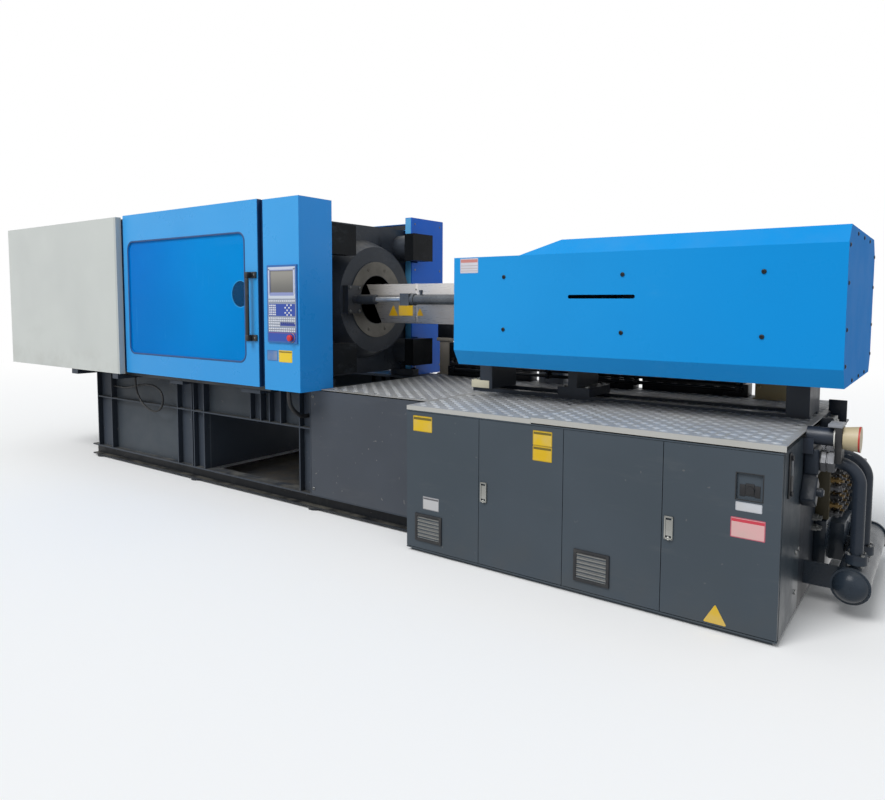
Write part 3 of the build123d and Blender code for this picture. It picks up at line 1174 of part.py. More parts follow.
def cabinet_leaf(index):
    """Cabinet door: a folded sheet, hung on two pins, with what is built into it."""
    x = (leaf_edges[index] + LEAF_GAP / 2, leaf_edges[index + 1] - LEAF_GAP / 2)
    y = (CABINET_FRONT_Y, CABINET_FRONT_Y + LEAF_THICKNESS)
    with BuildPart() as leaf:
        block(x, y, (LEAF_BOTTOM, LEAF_TOP))
        inside_x = (x[0] + LEAF_STILE, x[1] - LEAF_STILE)
        inside_z = (LEAF_BOTTOM + LEAF_STILE, LEAF_TOP - LEAF_STILE)
        block(inside_x, (y[0] + LEAF_SKIN, y[1]), inside_z, Mode.SUBTRACT)
        pin_z = LEAF_PIN_LENGTH + GAP
        for z in ((LEAF_BOTTOM, LEAF_BOTTOM + pin_z), (LEAF_TOP - pin_z, LEAF_TOP)):
            bar_z(pins_x[index], leaf_pin_y, z, LEAF_PIN_RADIUS + RUNNING, Mode.SUBTRACT)
        if index in (0, 2):
            vent_x = (x[0] + VENT_FROM_EDGE, x[0] + VENT_FROM_EDGE + VENT_WIDTH)
            vent_z = (VENT_BOTTOM, VENT_BOTTOM + VENT_HEIGHT)
            block(vent_x, (y[0] - VENT_PROUD, y[0] + LEAF_SKIN), vent_z)
            open_x = (vent_x[0] + VENT_FRAME, vent_x[1] - VENT_FRAME)
            open_z = (vent_z[0] + VENT_FRAME, vent_z[1] - VENT_FRAME)
            block(open_x, (y[0] - VENT_PROUD, y[0] + LEAF_SKIN), open_z, Mode.SUBTRACT)
            pitch = (open_z[1] - open_z[0]) / SLAT_COUNT
            slat_depth = VENT_PROUD + LEAF_SKIN
            for k in range(SLAT_COUNT):
                low = open_z[0] + k * pitch + SLAT_THICKNESS / 2
                rise = slat_depth * tan(radians(SLAT_TILT))
                slat = (
                    (y[0] - VENT_PROUD, low),
                    (y[0] - VENT_PROUD, low + SLAT_THICKNESS),
                    (y[0] + LEAF_SKIN, low + SLAT_THICKNESS + rise),
                    (y[0] + LEAF_SKIN, low + rise),
                )
                length_yz(slat, open_x)
        else:
            plate_x = (x[0] + LATCH_FROM_EDGE, x[0] + LATCH_FROM_EDGE + LATCH_WIDTH)
            plate_z = (LATCH_Z - LATCH_HEIGHT / 2, LATCH_Z + LATCH_HEIGHT / 2)
            block(plate_x, (y[0] - LATCH_PROUD, y[0]), plate_z)
            middle = (plate_x[0] + plate_x[1]) / 2
            well_x = (middle - LEVER_WIDTH / 2 - GAP, middle + LEVER_WIDTH / 2 + GAP)
            well_z = (LATCH_Z - LEVER_LENGTH / 2 - LEVER_RELIEF, LATCH_Z + LEVER_LENGTH / 2 + LEVER_RELIEF)
            block(well_x, (y[0] - LATCH_PROUD, y[0]), well_z, Mode.SUBTRACT)
            pin_x = (plate_x[0] + LEVER_PIN_RADIUS, plate_x[1] - LEVER_PIN_RADIUS)
            lever_bore = LEVER_PIN_RADIUS + RUNNING
            lever_z = LATCH_Z + LEVER_LENGTH / 2 - LEVER_PIN_RADIUS
            bar_x(pin_x, y[0] - LATCH_PROUD / 2, lever_z, lever_bore, Mode.SUBTRACT)
        if index == LEAF_COUNT - 1:
            pocket_x = (RECESS_X - RECESS_WIDTH / 2, RECESS_X + RECESS_WIDTH / 2)
            pocket_z = (RECESS_Z - RECESS_HEIGHT / 2, RECESS_Z + RECESS_HEIGHT / 2)
            block(pocket_x, y, pocket_z)
            sunk_x = (pocket_x[0] + LEAF_SKIN, pocket_x[1] - LEAF_SKIN)
            sunk_z = (pocket_z[0] + LEAF_SKIN, pocket_z[1] - LEAF_SKIN)
            block(sunk_x, (y[0], y[0] + RECESS_DEPTH), sunk_z, Mode.SUBTRACT)
            button_z = RECESS_Z - BUTTON_BELOW
            bar_y(RECESS_X, y, button_z, BUTTON_RADIUS / 2 + RUNNING, Mode.SUBTRACT)
    return leaf


for number in range(LEAF_COUNT):
    keep(cabinet_leaf(number), f"leaf_{number + 1}")


def latch_lever(index):
    """Paddle of a flush latch; it lifts out about its upper end."""
    left = leaf_edges[index] + LEAF_GAP / 2 + LATCH_FROM_EDGE
    middle = left + LATCH_WIDTH / 2
    top = LATCH_Z + LEVER_LENGTH / 2
    pivot_y = CABINET_FRONT_Y - LATCH_PROUD / 2
    with BuildPart() as lever:
        x = (middle - LEVER_WIDTH / 2, middle + LEVER_WIDTH / 2)
        y = (pivot_y - LEVER_THICKNESS / 2, pivot_y + LEVER_THICKNESS / 2)
        block(x, y, (LATCH_Z - LEVER_LENGTH / 2, top))
        pin_x = (left + LEVER_PIN_RADIUS + GAP, left + LATCH_WIDTH - LEVER_PIN_RADIUS - GAP)
        bar_x(pin_x, pivot_y, top - LEVER_PIN_RADIUS, LEVER_PIN_RADIUS)
    return lever


keep(latch_lever(1), "latch_lever_1")
keep(latch_lever(3), "latch_lever_2")

with BuildPart() as green_button:
    floor_y = CABINET_FRONT_Y + RECESS_DEPTH
    button_z = RECESS_Z - BUTTON_BELOW
    bar_y(RECESS_X, (floor_y - 2 * BUTTON_TRAVEL, floor_y - BUTTON_TRAVEL - GAP), button_z, BUTTON_RADIUS)
    bar_y(RECESS_X, (floor_y - BUTTON_TRAVEL - GAP, floor_y + BUTTON_TRAVEL), button_z, BUTTON_RADIUS / 2)
keep(green_button, "green_button")

# Carriage rods: anchored to the fixed platen, each ends in a piston
carriage_piston_x = CARRIAGE_GLAND_X + CARRIAGE_GLAND_LENGTH + CARRIAGE_TRAVEL + FLANGE
clevis_x = (fixed_rear_x, fixed_rear_x + CARRIAGE_CLEVIS_LENGTH)
with BuildPart() as carriage_rods:
    for y in (-CARRIAGE_ROD_Y, CARRIAGE_ROD_Y):
        half_y = CARRIAGE_CLEVIS_WIDTH / 2
        half_z = CARRIAGE_CLEVIS_HEIGHT / 2
        block(clevis_x, (y - half_y, y + half_y), (axis_z - half_z, axis_z + half_z))
        ring_x = (fixed_rear_x, fixed_rear_x + RING_PROUD)
        bar_x(ring_x, 0, axis_z, RING_RADIUS + SEAT, Mode.SUBTRACT)
        bar_x((clevis_x[1], clevis_x[1] + CARRIAGE_BOSS_LENGTH), y, axis_z, CARRIAGE_BOSS_RADIUS)
        bar_x((clevis_x[1], carriage_piston_x), y, axis_z, CARRIAGE_ROD_RADIUS)
        piston = (carriage_piston_x, carriage_piston_x + CARRIAGE_PISTON_LENGTH)
        bar_x(piston, y, axis_z, CARRIAGE_BORE_RADIUS - RUNNING)
keep(carriage_rods, "carriage_rods")

# Carriage supports: sole rails on the treads, three posts, two of them footed, and two guide beams
with BuildPart() as carriage_supports:
    sole_x = (FRONT_FOOT_X[0], REAR_POST_X[1])
    stepped = (
        (sole_x[0], TREAD_A_TOP),
        (TREAD_SPLIT_X, TREAD_A_TOP),
        (TREAD_SPLIT_X, TREAD_B_TOP),
        (sole_x[1], TREAD_B_TOP),
        (sole_x[1], SOLE_RAIL_TOP),
        (sole_x[0], SOLE_RAIL_TOP),
    )
    half = SOLE_RAIL_WIDTH / 2
    for y in (-SOLE_RAIL_Y, SOLE_RAIL_Y):
        plate_xz(stepped, (y - half, y + half))
    foot_y = (-FOOT_HALF_Y, FOOT_HALF_Y)
    for x in (FRONT_FOOT_X, MIDDLE_FOOT_X):
        block(x, foot_y, (SOLE_RAIL_TOP, SOLE_RAIL_TOP + POST_FOOT_HEIGHT))
    for x in (FRONT_WEB_X, MIDDLE_WEB_X, REAR_POST_X):
        block(x, foot_y, (SOLE_RAIL_TOP, BEAM_BOTTOM))
    beam_top = BEAM_BOTTOM + BEAM_HEIGHT
    for y in both((BEAM_INNER_Y, BEAM_INNER_Y + BEAM_WIDTH)):
        block(sole_x, y, (BEAM_BOTTOM, beam_top))
keep(carriage_supports, "carriage_supports")

# Injection housing: saddles on the beams, a base plate, the feed throat and the injection cylinders
throat_x = (THROAT_X, THROAT_X + THROAT_LENGTH)
throat_flange_x = (throat_x[1], throat_x[1] + THROAT_FLANGE)
injection_cylinder_x = (throat_flange_x[1], throat_flange_x[1] + INJECTION_CYLINDER_LENGTH)
feed_x = (throat_x[0] + throat_x[1]) / 2
plate_z = (beam_top + SADDLE_HEIGHT, beam_top + SADDLE_HEIGHT + CARRIAGE_PLATE)
with BuildPart() as injection_housing:
    for x in SADDLES_X:
        block(x, foot_y, (beam_top + GAP, plate_z[0]))
        bar_half = INJECTION_HALF_WIDTH - INJECTION_SHEET - SEAT
        block(x, (-bar_half, bar_half), (INJECTION_LOW_CREASE, INJECTION_LOW_CREASE + CROSS_BAR))
    block((CARRIAGE_NOSE_X, SADDLES_X[1][1]), foot_y, plate_z)
    block((CARRIAGE_NOSE_X, CARRIAGE_NOSE_X + SHIELD_POST), foot_y, (plate_z[1], SHIELD_BOTTOM))
    block(throat_x, (-THROAT_HALF_Y, THROAT_HALF_Y), (plate_z[1], THROAT_TOP))
    flange_z = (axis_z - THROAT_FLANGE_HALF_Z, axis_z + THROAT_FLANGE_HALF_Z)
    block(throat_flange_x, (-THROAT_FLANGE_HALF_Y, THROAT_FLANGE_HALF_Y), flange_z)
    bar_x((throat_x[0], throat_flange_x[1]), 0, axis_z, BARREL_RADIUS + SEAT, Mode.SUBTRACT)
    bar_z(feed_x, 0, (axis_z, THROAT_TOP), FEED_RADIUS, Mode.SUBTRACT)
    for x in (-1, 1):
        for y in (-1, 1):
            bolt_x = feed_x + x * FEED_BOLT_SPACING / 2
            bolt_y = y * FEED_BOLT_SPACING / 2
            bar_z(bolt_x, bolt_y, (THROAT_TOP - FEED_BOLT_DEPTH, THROAT_TOP), FEED_BOLT_RADIUS, Mode.SUBTRACT)
    for y in (-INJECTION_CYLINDER_Y, INJECTION_CYLINDER_Y):
        bar_x(injection_cylinder_x, y, axis_z, INJECTION_CYLINDER_RADIUS)
        bore_x = (injection_cylinder_x[0], injection_cylinder_x[1] - INJECTION_CYLINDER_CAP)
        bar_x(bore_x, y, axis_z, INJECTION_BORE_RADIUS, Mode.SUBTRACT)
        cap_x = (bore_x[1], injection_cylinder_x[1])
        bar_x(cap_x, y, axis_z, INJECTION_ROD_RADIUS + RUNNING, Mode.SUBTRACT)
keep(injection_housing, "injection_housing")

# Barrel with its nozzle and heater bands
barrel_end_x = throat_flange_x[1]
barrel_length = barrel_end_x - BARREL_NOSE_X
with BuildPart() as barrel:
    outline = [(-NOZZLE_LENGTH, 0), (-NOZZLE_LENGTH, NOZZLE_TIP_RADIUS), (-NOZZLE_LENGTH / 2, NOZZLE_RADIUS)]
    outline += [(0, NOZZLE_RADIUS), (0, BARREL_RADIUS)]
    for band in range(BAND_COUNT):
        start = BAND_START + band * (BAND_LENGTH + BAND_GAP)
        outline += [(start, BARREL_RADIUS), (start, BAND_RADIUS)]
        outline += [(start + BAND_LENGTH, BAND_RADIUS), (start + BAND_LENGTH, BARREL_RADIUS)]
    outline += [(barrel_length, BARREL_RADIUS), (barrel_length, 0)]
    turned_x(outline, BARREL_NOSE_X, 0, axis_z)
    bar_x((BARREL_NOSE_X + SCREW_CHAMBER, barrel_end_x), 0, axis_z, SCREW_RADIUS + RUNNING, Mode.SUBTRACT)
    bar_z(feed_x, 0, (axis_z, axis_z + BARREL_RADIUS), FEED_RADIUS / 2, Mode.SUBTRACT)
keep(barrel, "barrel")

# Barrel shield: a folded sleeve with a raked nose
with BuildPart() as barrel_shield:
    shield_end_x = throat_x[0] - SEAT
    raked = (
        (SHIELD_NOSE_TOP_X, SHIELD_TOP),
        (SHIELD_NOSE_BOTTOM_X, SHIELD_BOTTOM),
        (shield_end_x, SHIELD_BOTTOM),
        (shield_end_x, SHIELD_TOP),
    )
    plate_xz(raked, (-SHIELD_HALF_Y, SHIELD_HALF_Y))
    inside_y = (SHIELD_SHEET - SHIELD_HALF_Y, SHIELD_HALF_Y - SHIELD_SHEET)
    inside_z = (SHIELD_BOTTOM + SHIELD_SHEET, SHIELD_TOP - SHIELD_SHEET)
    block((SHIELD_NOSE_TOP_X, shield_end_x), inside_y, inside_z, Mode.SUBTRACT)
keep(barrel_shield, "barrel_shield")

# Carriage cylinders, from their glands to the feed throat's flange
with BuildPart() as carriage_cylinders:
    for y in (-CARRIAGE_ROD_Y, CARRIAGE_ROD_Y):
        gland_x = (CARRIAGE_GLAND_X, CARRIAGE_GLAND_X + CARRIAGE_GLAND_LENGTH)
        half = CARRIAGE_GLAND_HALF
        block(gland_x, (y - half, y + half), (axis_z - half, axis_z + half))
        bar_x((gland_x[1], throat_flange_x[0]), y, axis_z, CARRIAGE_CYLINDER_RADIUS)
        bore_end = carriage_piston_x + CARRIAGE_PISTON_LENGTH + FLANGE
        bar_x((gland_x[1], bore_end), y, axis_z, CARRIAGE_BORE_RADIUS, Mode.SUBTRACT)
        bar_x(gland_x, y, axis_z, CARRIAGE_ROD_RADIUS + RUNNING, Mode.SUBTRACT)
keep(carriage_cylinders, "carriage_cylinders")

# Injection ram: plate on the beams, two piston rods and the screw's motor
ram_x = (injection_cylinder_x[1] + RAM_AHEAD, injection_cylinder_x[1] + RAM_AHEAD + RAM_PLATE)
with BuildPart() as injection_ram:
    ram_z = (axis_z - RAM_HALF_Z, axis_z + RAM_HALF_Z)
    block(ram_x, (-RAM_HALF_Y, RAM_HALF_Y), ram_z)
    for y in both((BEAM_INNER_Y, BEAM_INNER_Y + BEAM_WIDTH)):
        block(ram_x, y, (plate_z[1] + GAP, ram_z[0]))
    bar_x((ram_x[1], ram_x[1] + MOTOR_LENGTH), 0, axis_z, MOTOR_RADIUS)
    rod_start = injection_cylinder_x[0] + FLANGE
    for y in (-INJECTION_CYLINDER_Y, INJECTION_CYLINDER_Y):
        bar_x((rod_start, ram_x[0]), y, axis_z, INJECTION_ROD_RADIUS)
        bar_x((rod_start, rod_start + PISTON_LENGTH), y, axis_z, INJECTION_BORE_RADIUS - RUNNING)
    bar_x(ram_x, 0, axis_z, SHANK_RADIUS + RUNNING, Mode.SUBTRACT)
keep(injection_ram, "injection_ram")

with BuildPart() as screw:
    screw_nose_x = BARREL_NOSE_X + SCREW_CHAMBER + FLANGE
    turned = (
        (0, 0),
        (SCREW_TIP, SCREW_RADIUS),
        (ram_x[0] - RAM_AHEAD / 2 - screw_nose_x, SCREW_RADIUS),
        (ram_x[0] - RAM_AHEAD / 2 - screw_nose_x, SHANK_RADIUS),
        (ram_x[1] - GAP - screw_nose_x, SHANK_RADIUS),
        (ram_x[1] - GAP - screw_nose_x, 0),
    )
    turned_x(turned, screw_nose_x, 0, axis_z)
keep(screw, "screw")


def cover_section(inset, bottom):
    """The injection cover's section in Y and Z, drawn in by a wall."""
    half = INJECTION_HALF_WIDTH - inset
    foot = INJECTION_FOOT_HALF - inset
    top_half = INJECTION_TOP_HALF - inset * TOP_EDGE_DRAW
    return (
        (-foot, bottom),
        (foot, bottom),
        (half, INJECTION_LOW_CREASE),
        (half, INJECTION_HIGH_CREASE - inset * CREASE_DRAW),
        (top_half, INJECTION_TOP - inset),
        (-top_half, INJECTION_TOP - inset),
        (-half, INJECTION_HIGH_CREASE - inset * CREASE_DRAW),
        (-half, INJECTION_LOW_CREASE),
    )


def cover_fall(inset):
    """What is cut away above the low roof and the slope up to the high roof."""
    left = INJECTION_COVER_X
    low = INJECTION_HIGH_CREASE - inset
    high = INJECTION_TOP - inset
    step_x = left + INJECTION_STEP_LENGTH
    slope_x = step_x + INJECTION_SLOPE_LENGTH
    over = INJECTION_TOP + INJECTION_SHEET
    rise = (over - high) * INJECTION_SLOPE_LENGTH / (INJECTION_TOP - INJECTION_HIGH_CREASE)
    return ((left - 1, low), (step_x, low), (slope_x + rise, over), (left - 1, over))


# Injection cover: a folded hood with sloped shoulders, open below, with a mouth and a sight slot
cover_end_x = INJECTION_COVER_X + INJECTION_COVER_LENGTH
with BuildPart() as cover_inside:
    sheet_x = (INJECTION_COVER_X + INJECTION_SHEET, cover_end_x - INJECTION_SHEET)
    length_yz(cover_section(INJECTION_SHEET, INJECTION_BOTTOM + INJECTION_SHEET), sheet_x)
    width = (-INJECTION_HALF_WIDTH, INJECTION_HALF_WIDTH)
    plate_xz(cover_fall(INJECTION_SHEET), width, Mode.SUBTRACT)
with BuildPart() as injection_cover:
    length_yz(cover_section(0, INJECTION_BOTTOM), (INJECTION_COVER_X, cover_end_x))
    plate_xz(cover_fall(0), width, Mode.SUBTRACT)
    add(cover_inside.part, mode=Mode.SUBTRACT)
    lip = INJECTION_FOOT_HALF - INJECTION_LIP
    block(sheet_x, (-lip, lip), (INJECTION_BOTTOM, INJECTION_BOTTOM + INJECTION_SHEET), Mode.SUBTRACT)
    mouth_x = (INJECTION_COVER_X, INJECTION_COVER_X + INJECTION_SHEET)
    mouth_y = (-COVER_MOUTH_HALF_Y, COVER_MOUTH_HALF_Y)
    block(mouth_x, mouth_y, (COVER_MOUTH_BOTTOM, COVER_MOUTH_TOP), Mode.SUBTRACT)
    post_y = FOOT_HALF_Y + FLANGE
    block(mouth_x, (-post_y, post_y), (INJECTION_BOTTOM, COVER_MOUTH_BOTTOM), Mode.SUBTRACT)
    roof_hole = (INJECTION_HIGH_CREASE - INJECTION_SHEET, INJECTION_HIGH_CREASE)
    bar_z(INJECTION_COVER_X + HOPPER_FROM_END, 0, roof_hole, HOPPER_HOLE_RADIUS, Mode.SUBTRACT)
    with BuildSketch(Plane.XZ.offset(INJECTION_HALF_WIDTH)) as sight_slot:
        with Locations(((COVER_SLOT_X[0] + COVER_SLOT_X[1]) / 2, COVER_SLOT_Z)):
            SlotOverall(COVER_SLOT_X[1] - COVER_SLOT_X[0], COVER_SLOT_HEIGHT)
    extrude(sight_slot.sketch, amount=-INJECTION_SHEET, mode=Mode.SUBTRACT)
keep(injection_cover, "injection_cover")

# Oil cooler: a flanged shell with a domed near end, on two saddles from the base's end plate
pipe_foot = COOLER_Z + COOLER_RADIUS + PIPE_NECK + PIPE_FLANGE
with BuildPart() as oil_cooler:
    cooler_place = Plane(origin=(COOLER_X, COOLER_NEAR_Y, COOLER_Z), x_dir=(0, 1, 0), z_dir=(-1, 0, 0))
    with BuildSketch(cooler_place) as shell:
        with BuildLine():
            start = COOLER_DOME
            ThreePointArc((0, 0), COOLER_DOME_MIDDLE, (start, COOLER_RADIUS))
            Polyline(
                (start, COOLER_RADIUS),
                (start, COOLER_FLANGE_RADIUS),
                (start + COOLER_FLANGE, COOLER_FLANGE_RADIUS),
                (start + COOLER_FLANGE, COOLER_RADIUS),
                (COOLER_LENGTH - COOLER_FLANGE, COOLER_RADIUS),
                (COOLER_LENGTH - COOLER_FLANGE, COOLER_FLANGE_RADIUS),
                (COOLER_LENGTH, COOLER_FLANGE_RADIUS),
                (COOLER_LENGTH, 0),
                (0, 0),
            )
        make_face()
    revolve(shell.sketch, axis=Axis((COOLER_X, COOLER_NEAR_Y, COOLER_Z), (0, 1, 0)))
    for y in COOLER_SADDLES_Y:
        saddle_z = (COOLER_Z - COOLER_RADIUS, COOLER_Z + COOLER_RADIUS / 2)
        block((cabinet_right_x, COOLER_X), (y, y + COOLER_SADDLE), saddle_z)
    for x, y in PIPE_PLACES:
        bar_z(x, y, (COOLER_Z, pipe_foot), PIPE_RADIUS)
        bar_z(x, y, (pipe_foot - PIPE_FLANGE, pipe_foot), PIPE_FLANGE_RADIUS)
keep(oil_cooler, "oil_cooler")

# Cooler pipes: up from the cooler and round into the base's end plate
with BuildPart() as cooler_pipes:
    for x, y in PIPE_PLACES:
        start = (x, y, pipe_foot)
        with BuildLine() as route:
            FilletPolyline(start, (x, y, PIPE_TOP_Z), (cabinet_right_x, y, PIPE_TOP_Z), radius=PIPE_BEND)
        with BuildSketch(Plane(origin=start, z_dir=(0, 0, 1))):
            Circle(PIPE_RADIUS)
        sweep(path=route.line)
        bar_z(x, y, (pipe_foot, pipe_foot + PIPE_FLANGE), PIPE_FLANGE_RADIUS)
keep(cooler_pipes, "cooler_pipes")

# Filter on the base's end plate
with BuildPart() as filter_unit:
    neck = FILTER_NECK_LENGTH
    profile = (
        (0, 0),
        (0, FILTER_NECK_RADIUS),
        (neck, FILTER_NECK_RADIUS),
        (neck, FILTER_COLLAR_RADIUS),
        (neck + FILTER_COLLAR, FILTER_COLLAR_RADIUS),
        (neck + FILTER_COLLAR, FILTER_NECK_RADIUS),
        (neck + FILTER_BLOCK, FILTER_NECK_RADIUS),
        (neck + FILTER_BLOCK, FILTER_CROWN_RADIUS),
        (neck + FILTER_BLOCK + FILTER_LENGTH, FILTER_RADIUS),
        (neck + FILTER_BLOCK + FILTER_LENGTH, 0),
    )
    turned_x(profile, TREAD_END_X + GAP, FILTER_Y, FILTER_Z)
    foot_top = CABINET_TOP + CABINET_SHELF - GAP
    block(
        (cabinet_right_x, cabinet_right_x + FILTER_FOOT_LENGTH),
        (FILTER_Y - FILTER_FOOT_HALF, FILTER_Y + FILTER_FOOT_HALF),
        (foot_top - FILTER_FOOT_HEIGHT, foot_top),
    )
keep(filter_unit, "filter_unit")


def cord_radii(route, diameter):
    """Each bend's radius: 0.45 of the shorter run beside it, over the tangent of half the turn."""
    points = [Vector(*point) for point in route]
    radii = []
    for before, here, after in zip(points, points[1:], points[2:]):
        run_in, run_out = here - before, after - here
        half_turn = radians(run_in.get_angle(run_out) / 2)
        radii.append(0.45 * min(run_in.length, run_out.length) / tan(half_turn))
    print("cord", diameter, "radii", [round(r) for r in radii])
    return radii


def cord_tube(route, radius):
    """Tube of a cord along straight runs joined by tangent arcs."""
    start = Vector(*route[0])
    with BuildLine() as path:
        FilletPolyline(*route, radius=cord_radii(route, 2 * radius))
    with BuildPart() as tube:
        with BuildSketch(Plane(origin=start, z_dir=Vector(*route[1]) - start)) as section:
            Circle(radius)
        sweep(section.sketch, path=path.line)
    length = sum(edge.length for edge in path.edges())
    ratio = tube.part.volume / (length * pi * radius**2)
    print("cord length", round(length), "volume ratio", round(ratio, 4))
    return tube


keep(cord_tube(CABLE_ROUTE, CABLE_RADIUS), "cable_loop")
keep(cord_tube(CONDUIT_ROUTE, CONDUIT_RADIUS), "column_conduit")
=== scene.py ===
import math

import bmesh
import bpy
from mathutils import Euler, Matrix, Vector


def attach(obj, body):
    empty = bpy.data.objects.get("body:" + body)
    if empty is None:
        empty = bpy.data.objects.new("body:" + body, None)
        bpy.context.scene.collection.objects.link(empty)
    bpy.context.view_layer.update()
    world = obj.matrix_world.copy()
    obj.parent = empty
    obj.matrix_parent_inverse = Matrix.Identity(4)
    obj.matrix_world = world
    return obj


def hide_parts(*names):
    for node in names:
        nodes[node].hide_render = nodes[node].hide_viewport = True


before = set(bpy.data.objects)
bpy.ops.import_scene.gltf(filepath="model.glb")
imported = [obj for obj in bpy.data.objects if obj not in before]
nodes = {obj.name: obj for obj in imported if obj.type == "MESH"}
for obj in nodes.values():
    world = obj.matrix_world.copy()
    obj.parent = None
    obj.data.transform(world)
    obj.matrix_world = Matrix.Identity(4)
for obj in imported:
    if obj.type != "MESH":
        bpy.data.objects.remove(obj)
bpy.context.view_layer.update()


# Camera: it stands off the injection end on the operator's side, at a person's eye height,
# with the shift that puts the horizon where the photograph has it.
def placed(name, data):
    """Puts a new object with this data in the scene."""
    made = bpy.data.objects.new(name, data)
    bpy.context.scene.collection.objects.link(made)
    return made


PHOTO_WIDTH, FOCAL_LENGTH, HORIZON_RISE, SENSOR_WIDTH = 885, 705, 45, 36
camera = placed("camera", bpy.data.cameras.new("camera"))
camera.location = (3.768, -3.9264, 1.392)
camera.rotation_euler = Euler([math.radians(angle) for angle in (90 - 4.27, -0.2, 36.2)], "XYZ")
camera.data.sensor_width = SENSOR_WIDTH
camera.data.lens = FOCAL_LENGTH / PHOTO_WIDTH * SENSOR_WIDTH
camera.data.shift_y = -HORIZON_RISE / PHOTO_WIDTH
camera.data.clip_end = 200
bpy.context.scene.camera = camera
bpy.context.scene.view_settings.view_transform = "Standard"


# Frame paint: dark grey-blue machine enamel on the welded bed. The finish tools come first: a wire
# adds maths nodes when Python sums it, a graph adds any node, and a finish is a material's graph.
class Wire:
    """One output of a node; maths on it adds Math nodes."""

    def __init__(self, graph, socket):
        self.graph = graph
        self.socket = socket

    def math(self, operation, *values):
        sockets = dict(enumerate((self,) + values))
        return self.graph.node("ShaderNodeMath", {"operation": operation}, sockets)

    def __add__(self, other):
        return self.math("ADD", other)

    def __sub__(self, other):
        return self.math("SUBTRACT", other)

    def __mul__(self, other):
        return self.math("MULTIPLY", other)

    def __abs__(self):
        return self.math("ABSOLUTE")

    def __rsub__(self, other):
        return self.graph.node("ShaderNodeMath", {"operation": "SUBTRACT"}, {0: other, 1: self})

    def step(self, low, high, bottom=0.0, top=1.0):
        """Goes smoothly from bottom to top as this wire goes from low to high."""
        settings = {"interpolation_type": "SMOOTHSTEP"}
        sockets = {"Value": self, "From Min": low, "From Max": high, "To Min": bottom, "To Max": top}
        return self.graph.node("ShaderNodeMapRange", settings, sockets)

    def fall(self, low, high):
        """1 below low, 0 above high."""
        return self.step(low, high, 1.0, 0.0)

    def within(self, low, high, edge):
        """1 between low and high, 0 outside, with soft edges on the inside."""
        return self.step(low, low + edge) * self.fall(high - edge, high)


class Graph:
    """A node tree being made."""

    def __init__(self, tree):
        self.tree = tree

    def node(self, kind, settings=(), sockets=(), out=0):
        """Adds a node: its settings first, then the values or links of its sockets."""
        made = self.tree.nodes.new(kind)
        for key, value in dict(settings).items():
            setattr(made, key, value)
        for key, value in dict(sockets).items():
            if isinstance(value, Wire):
                self.tree.links.new(value.socket, made.inputs[key])
            else:
                made.inputs[key].default_value = value
        return Wire(self, made.outputs[out]) if made.outputs else None


class Finish(Graph):
    """A material in Object coordinates, metres on the machine, whose colours are laid in turn."""

    def __init__(self, name, code="ffffff"):
        self.material = bpy.data.materials.new(name)
        self.material.use_nodes = True
        self.material.node_tree.nodes.clear()
        super().__init__(self.material.node_tree)
        self.place = self.node("ShaderNodeTexCoord", out="Object")
        self.x, self.y, self.z = self.split(self.place)
        self.colour = tint(code)

    def split(self, vector):
        parts = self.node("ShaderNodeSeparateXYZ", sockets={0: vector}).socket.node.outputs
        return [Wire(self, part) for part in parts]

    def normal(self, axis):
        """How far the face looks along an axis of the machine: 0, 1 or 2."""
        return self.split(self.node("ShaderNodeNewGeometry", out="Normal"))[axis]

    def noise(self, scale, detail, stretch=(1, 1, 1), roughness=0.55):
        """Soft noise from 0 to 1; stretch is how many times finer it is along each axis."""
        where = self.node("ShaderNodeVectorMath", {"operation": "MULTIPLY"}, {0: self.place, 1: stretch})
        sockets = {"Vector": where, "Scale": scale, "Detail": detail, "Roughness": roughness}
        return self.node("ShaderNodeTexNoise", sockets=sockets)

    def mix(self, share, first, second):
        """A colour between two, each a paint's code, a colour or a wire."""
        first, second = [tint(one) if isinstance(one, str) else one for one in (first, second)]
        return self.node("ShaderNodeMix", {"data_type": "RGBA"}, {0: share, 6: first, 7: second}, 2)

    def lay(self, share, colour):
        """Lays a colour over what is there, by a share."""
        self.colour = self.mix(share, self.colour, colour)

    def bump(self, height, distance, strength, under=None):
        sockets = {"Height": height, "Distance": distance, "Strength": strength}
        if under is not None:
            sockets["Normal"] = under
        return self.node("ShaderNodeBump", sockets=sockets)

    def peel(self, scale, depth, strength, grain=300):
        """Sprayed paint: orange peel on slow waves in the sheet."""
        fine = self.bump(self.noise(grain, 2), 0.00025, 0.6)
        return self.bump(self.noise(scale, 2), depth, strength, fine)

    def close(self, rough, **values):
        """Puts the shader on: each value goes to the socket of that name, spaces for underscores."""
        sockets = {key.replace("_", " "): value for key, value in values.items()}
        sockets.update({"Base Color": self.colour, "Roughness": rough})
        shader = self.node("ShaderNodeBsdfPrincipled", sockets=sockets)
        self.node("ShaderNodeOutputMaterial", sockets={"Surface": shader})
        return self.material


def tint(code):
    """A paint's colour from its six-figure code."""
    parts = [int(code[i:i + 2], 16) / 255 for i in (0, 2, 4)]
    return tuple(p / 12.92 if p <= 0.04045 else ((p + 0.055) / 1.055) ** 2.4 for p in parts) + (1.0,)


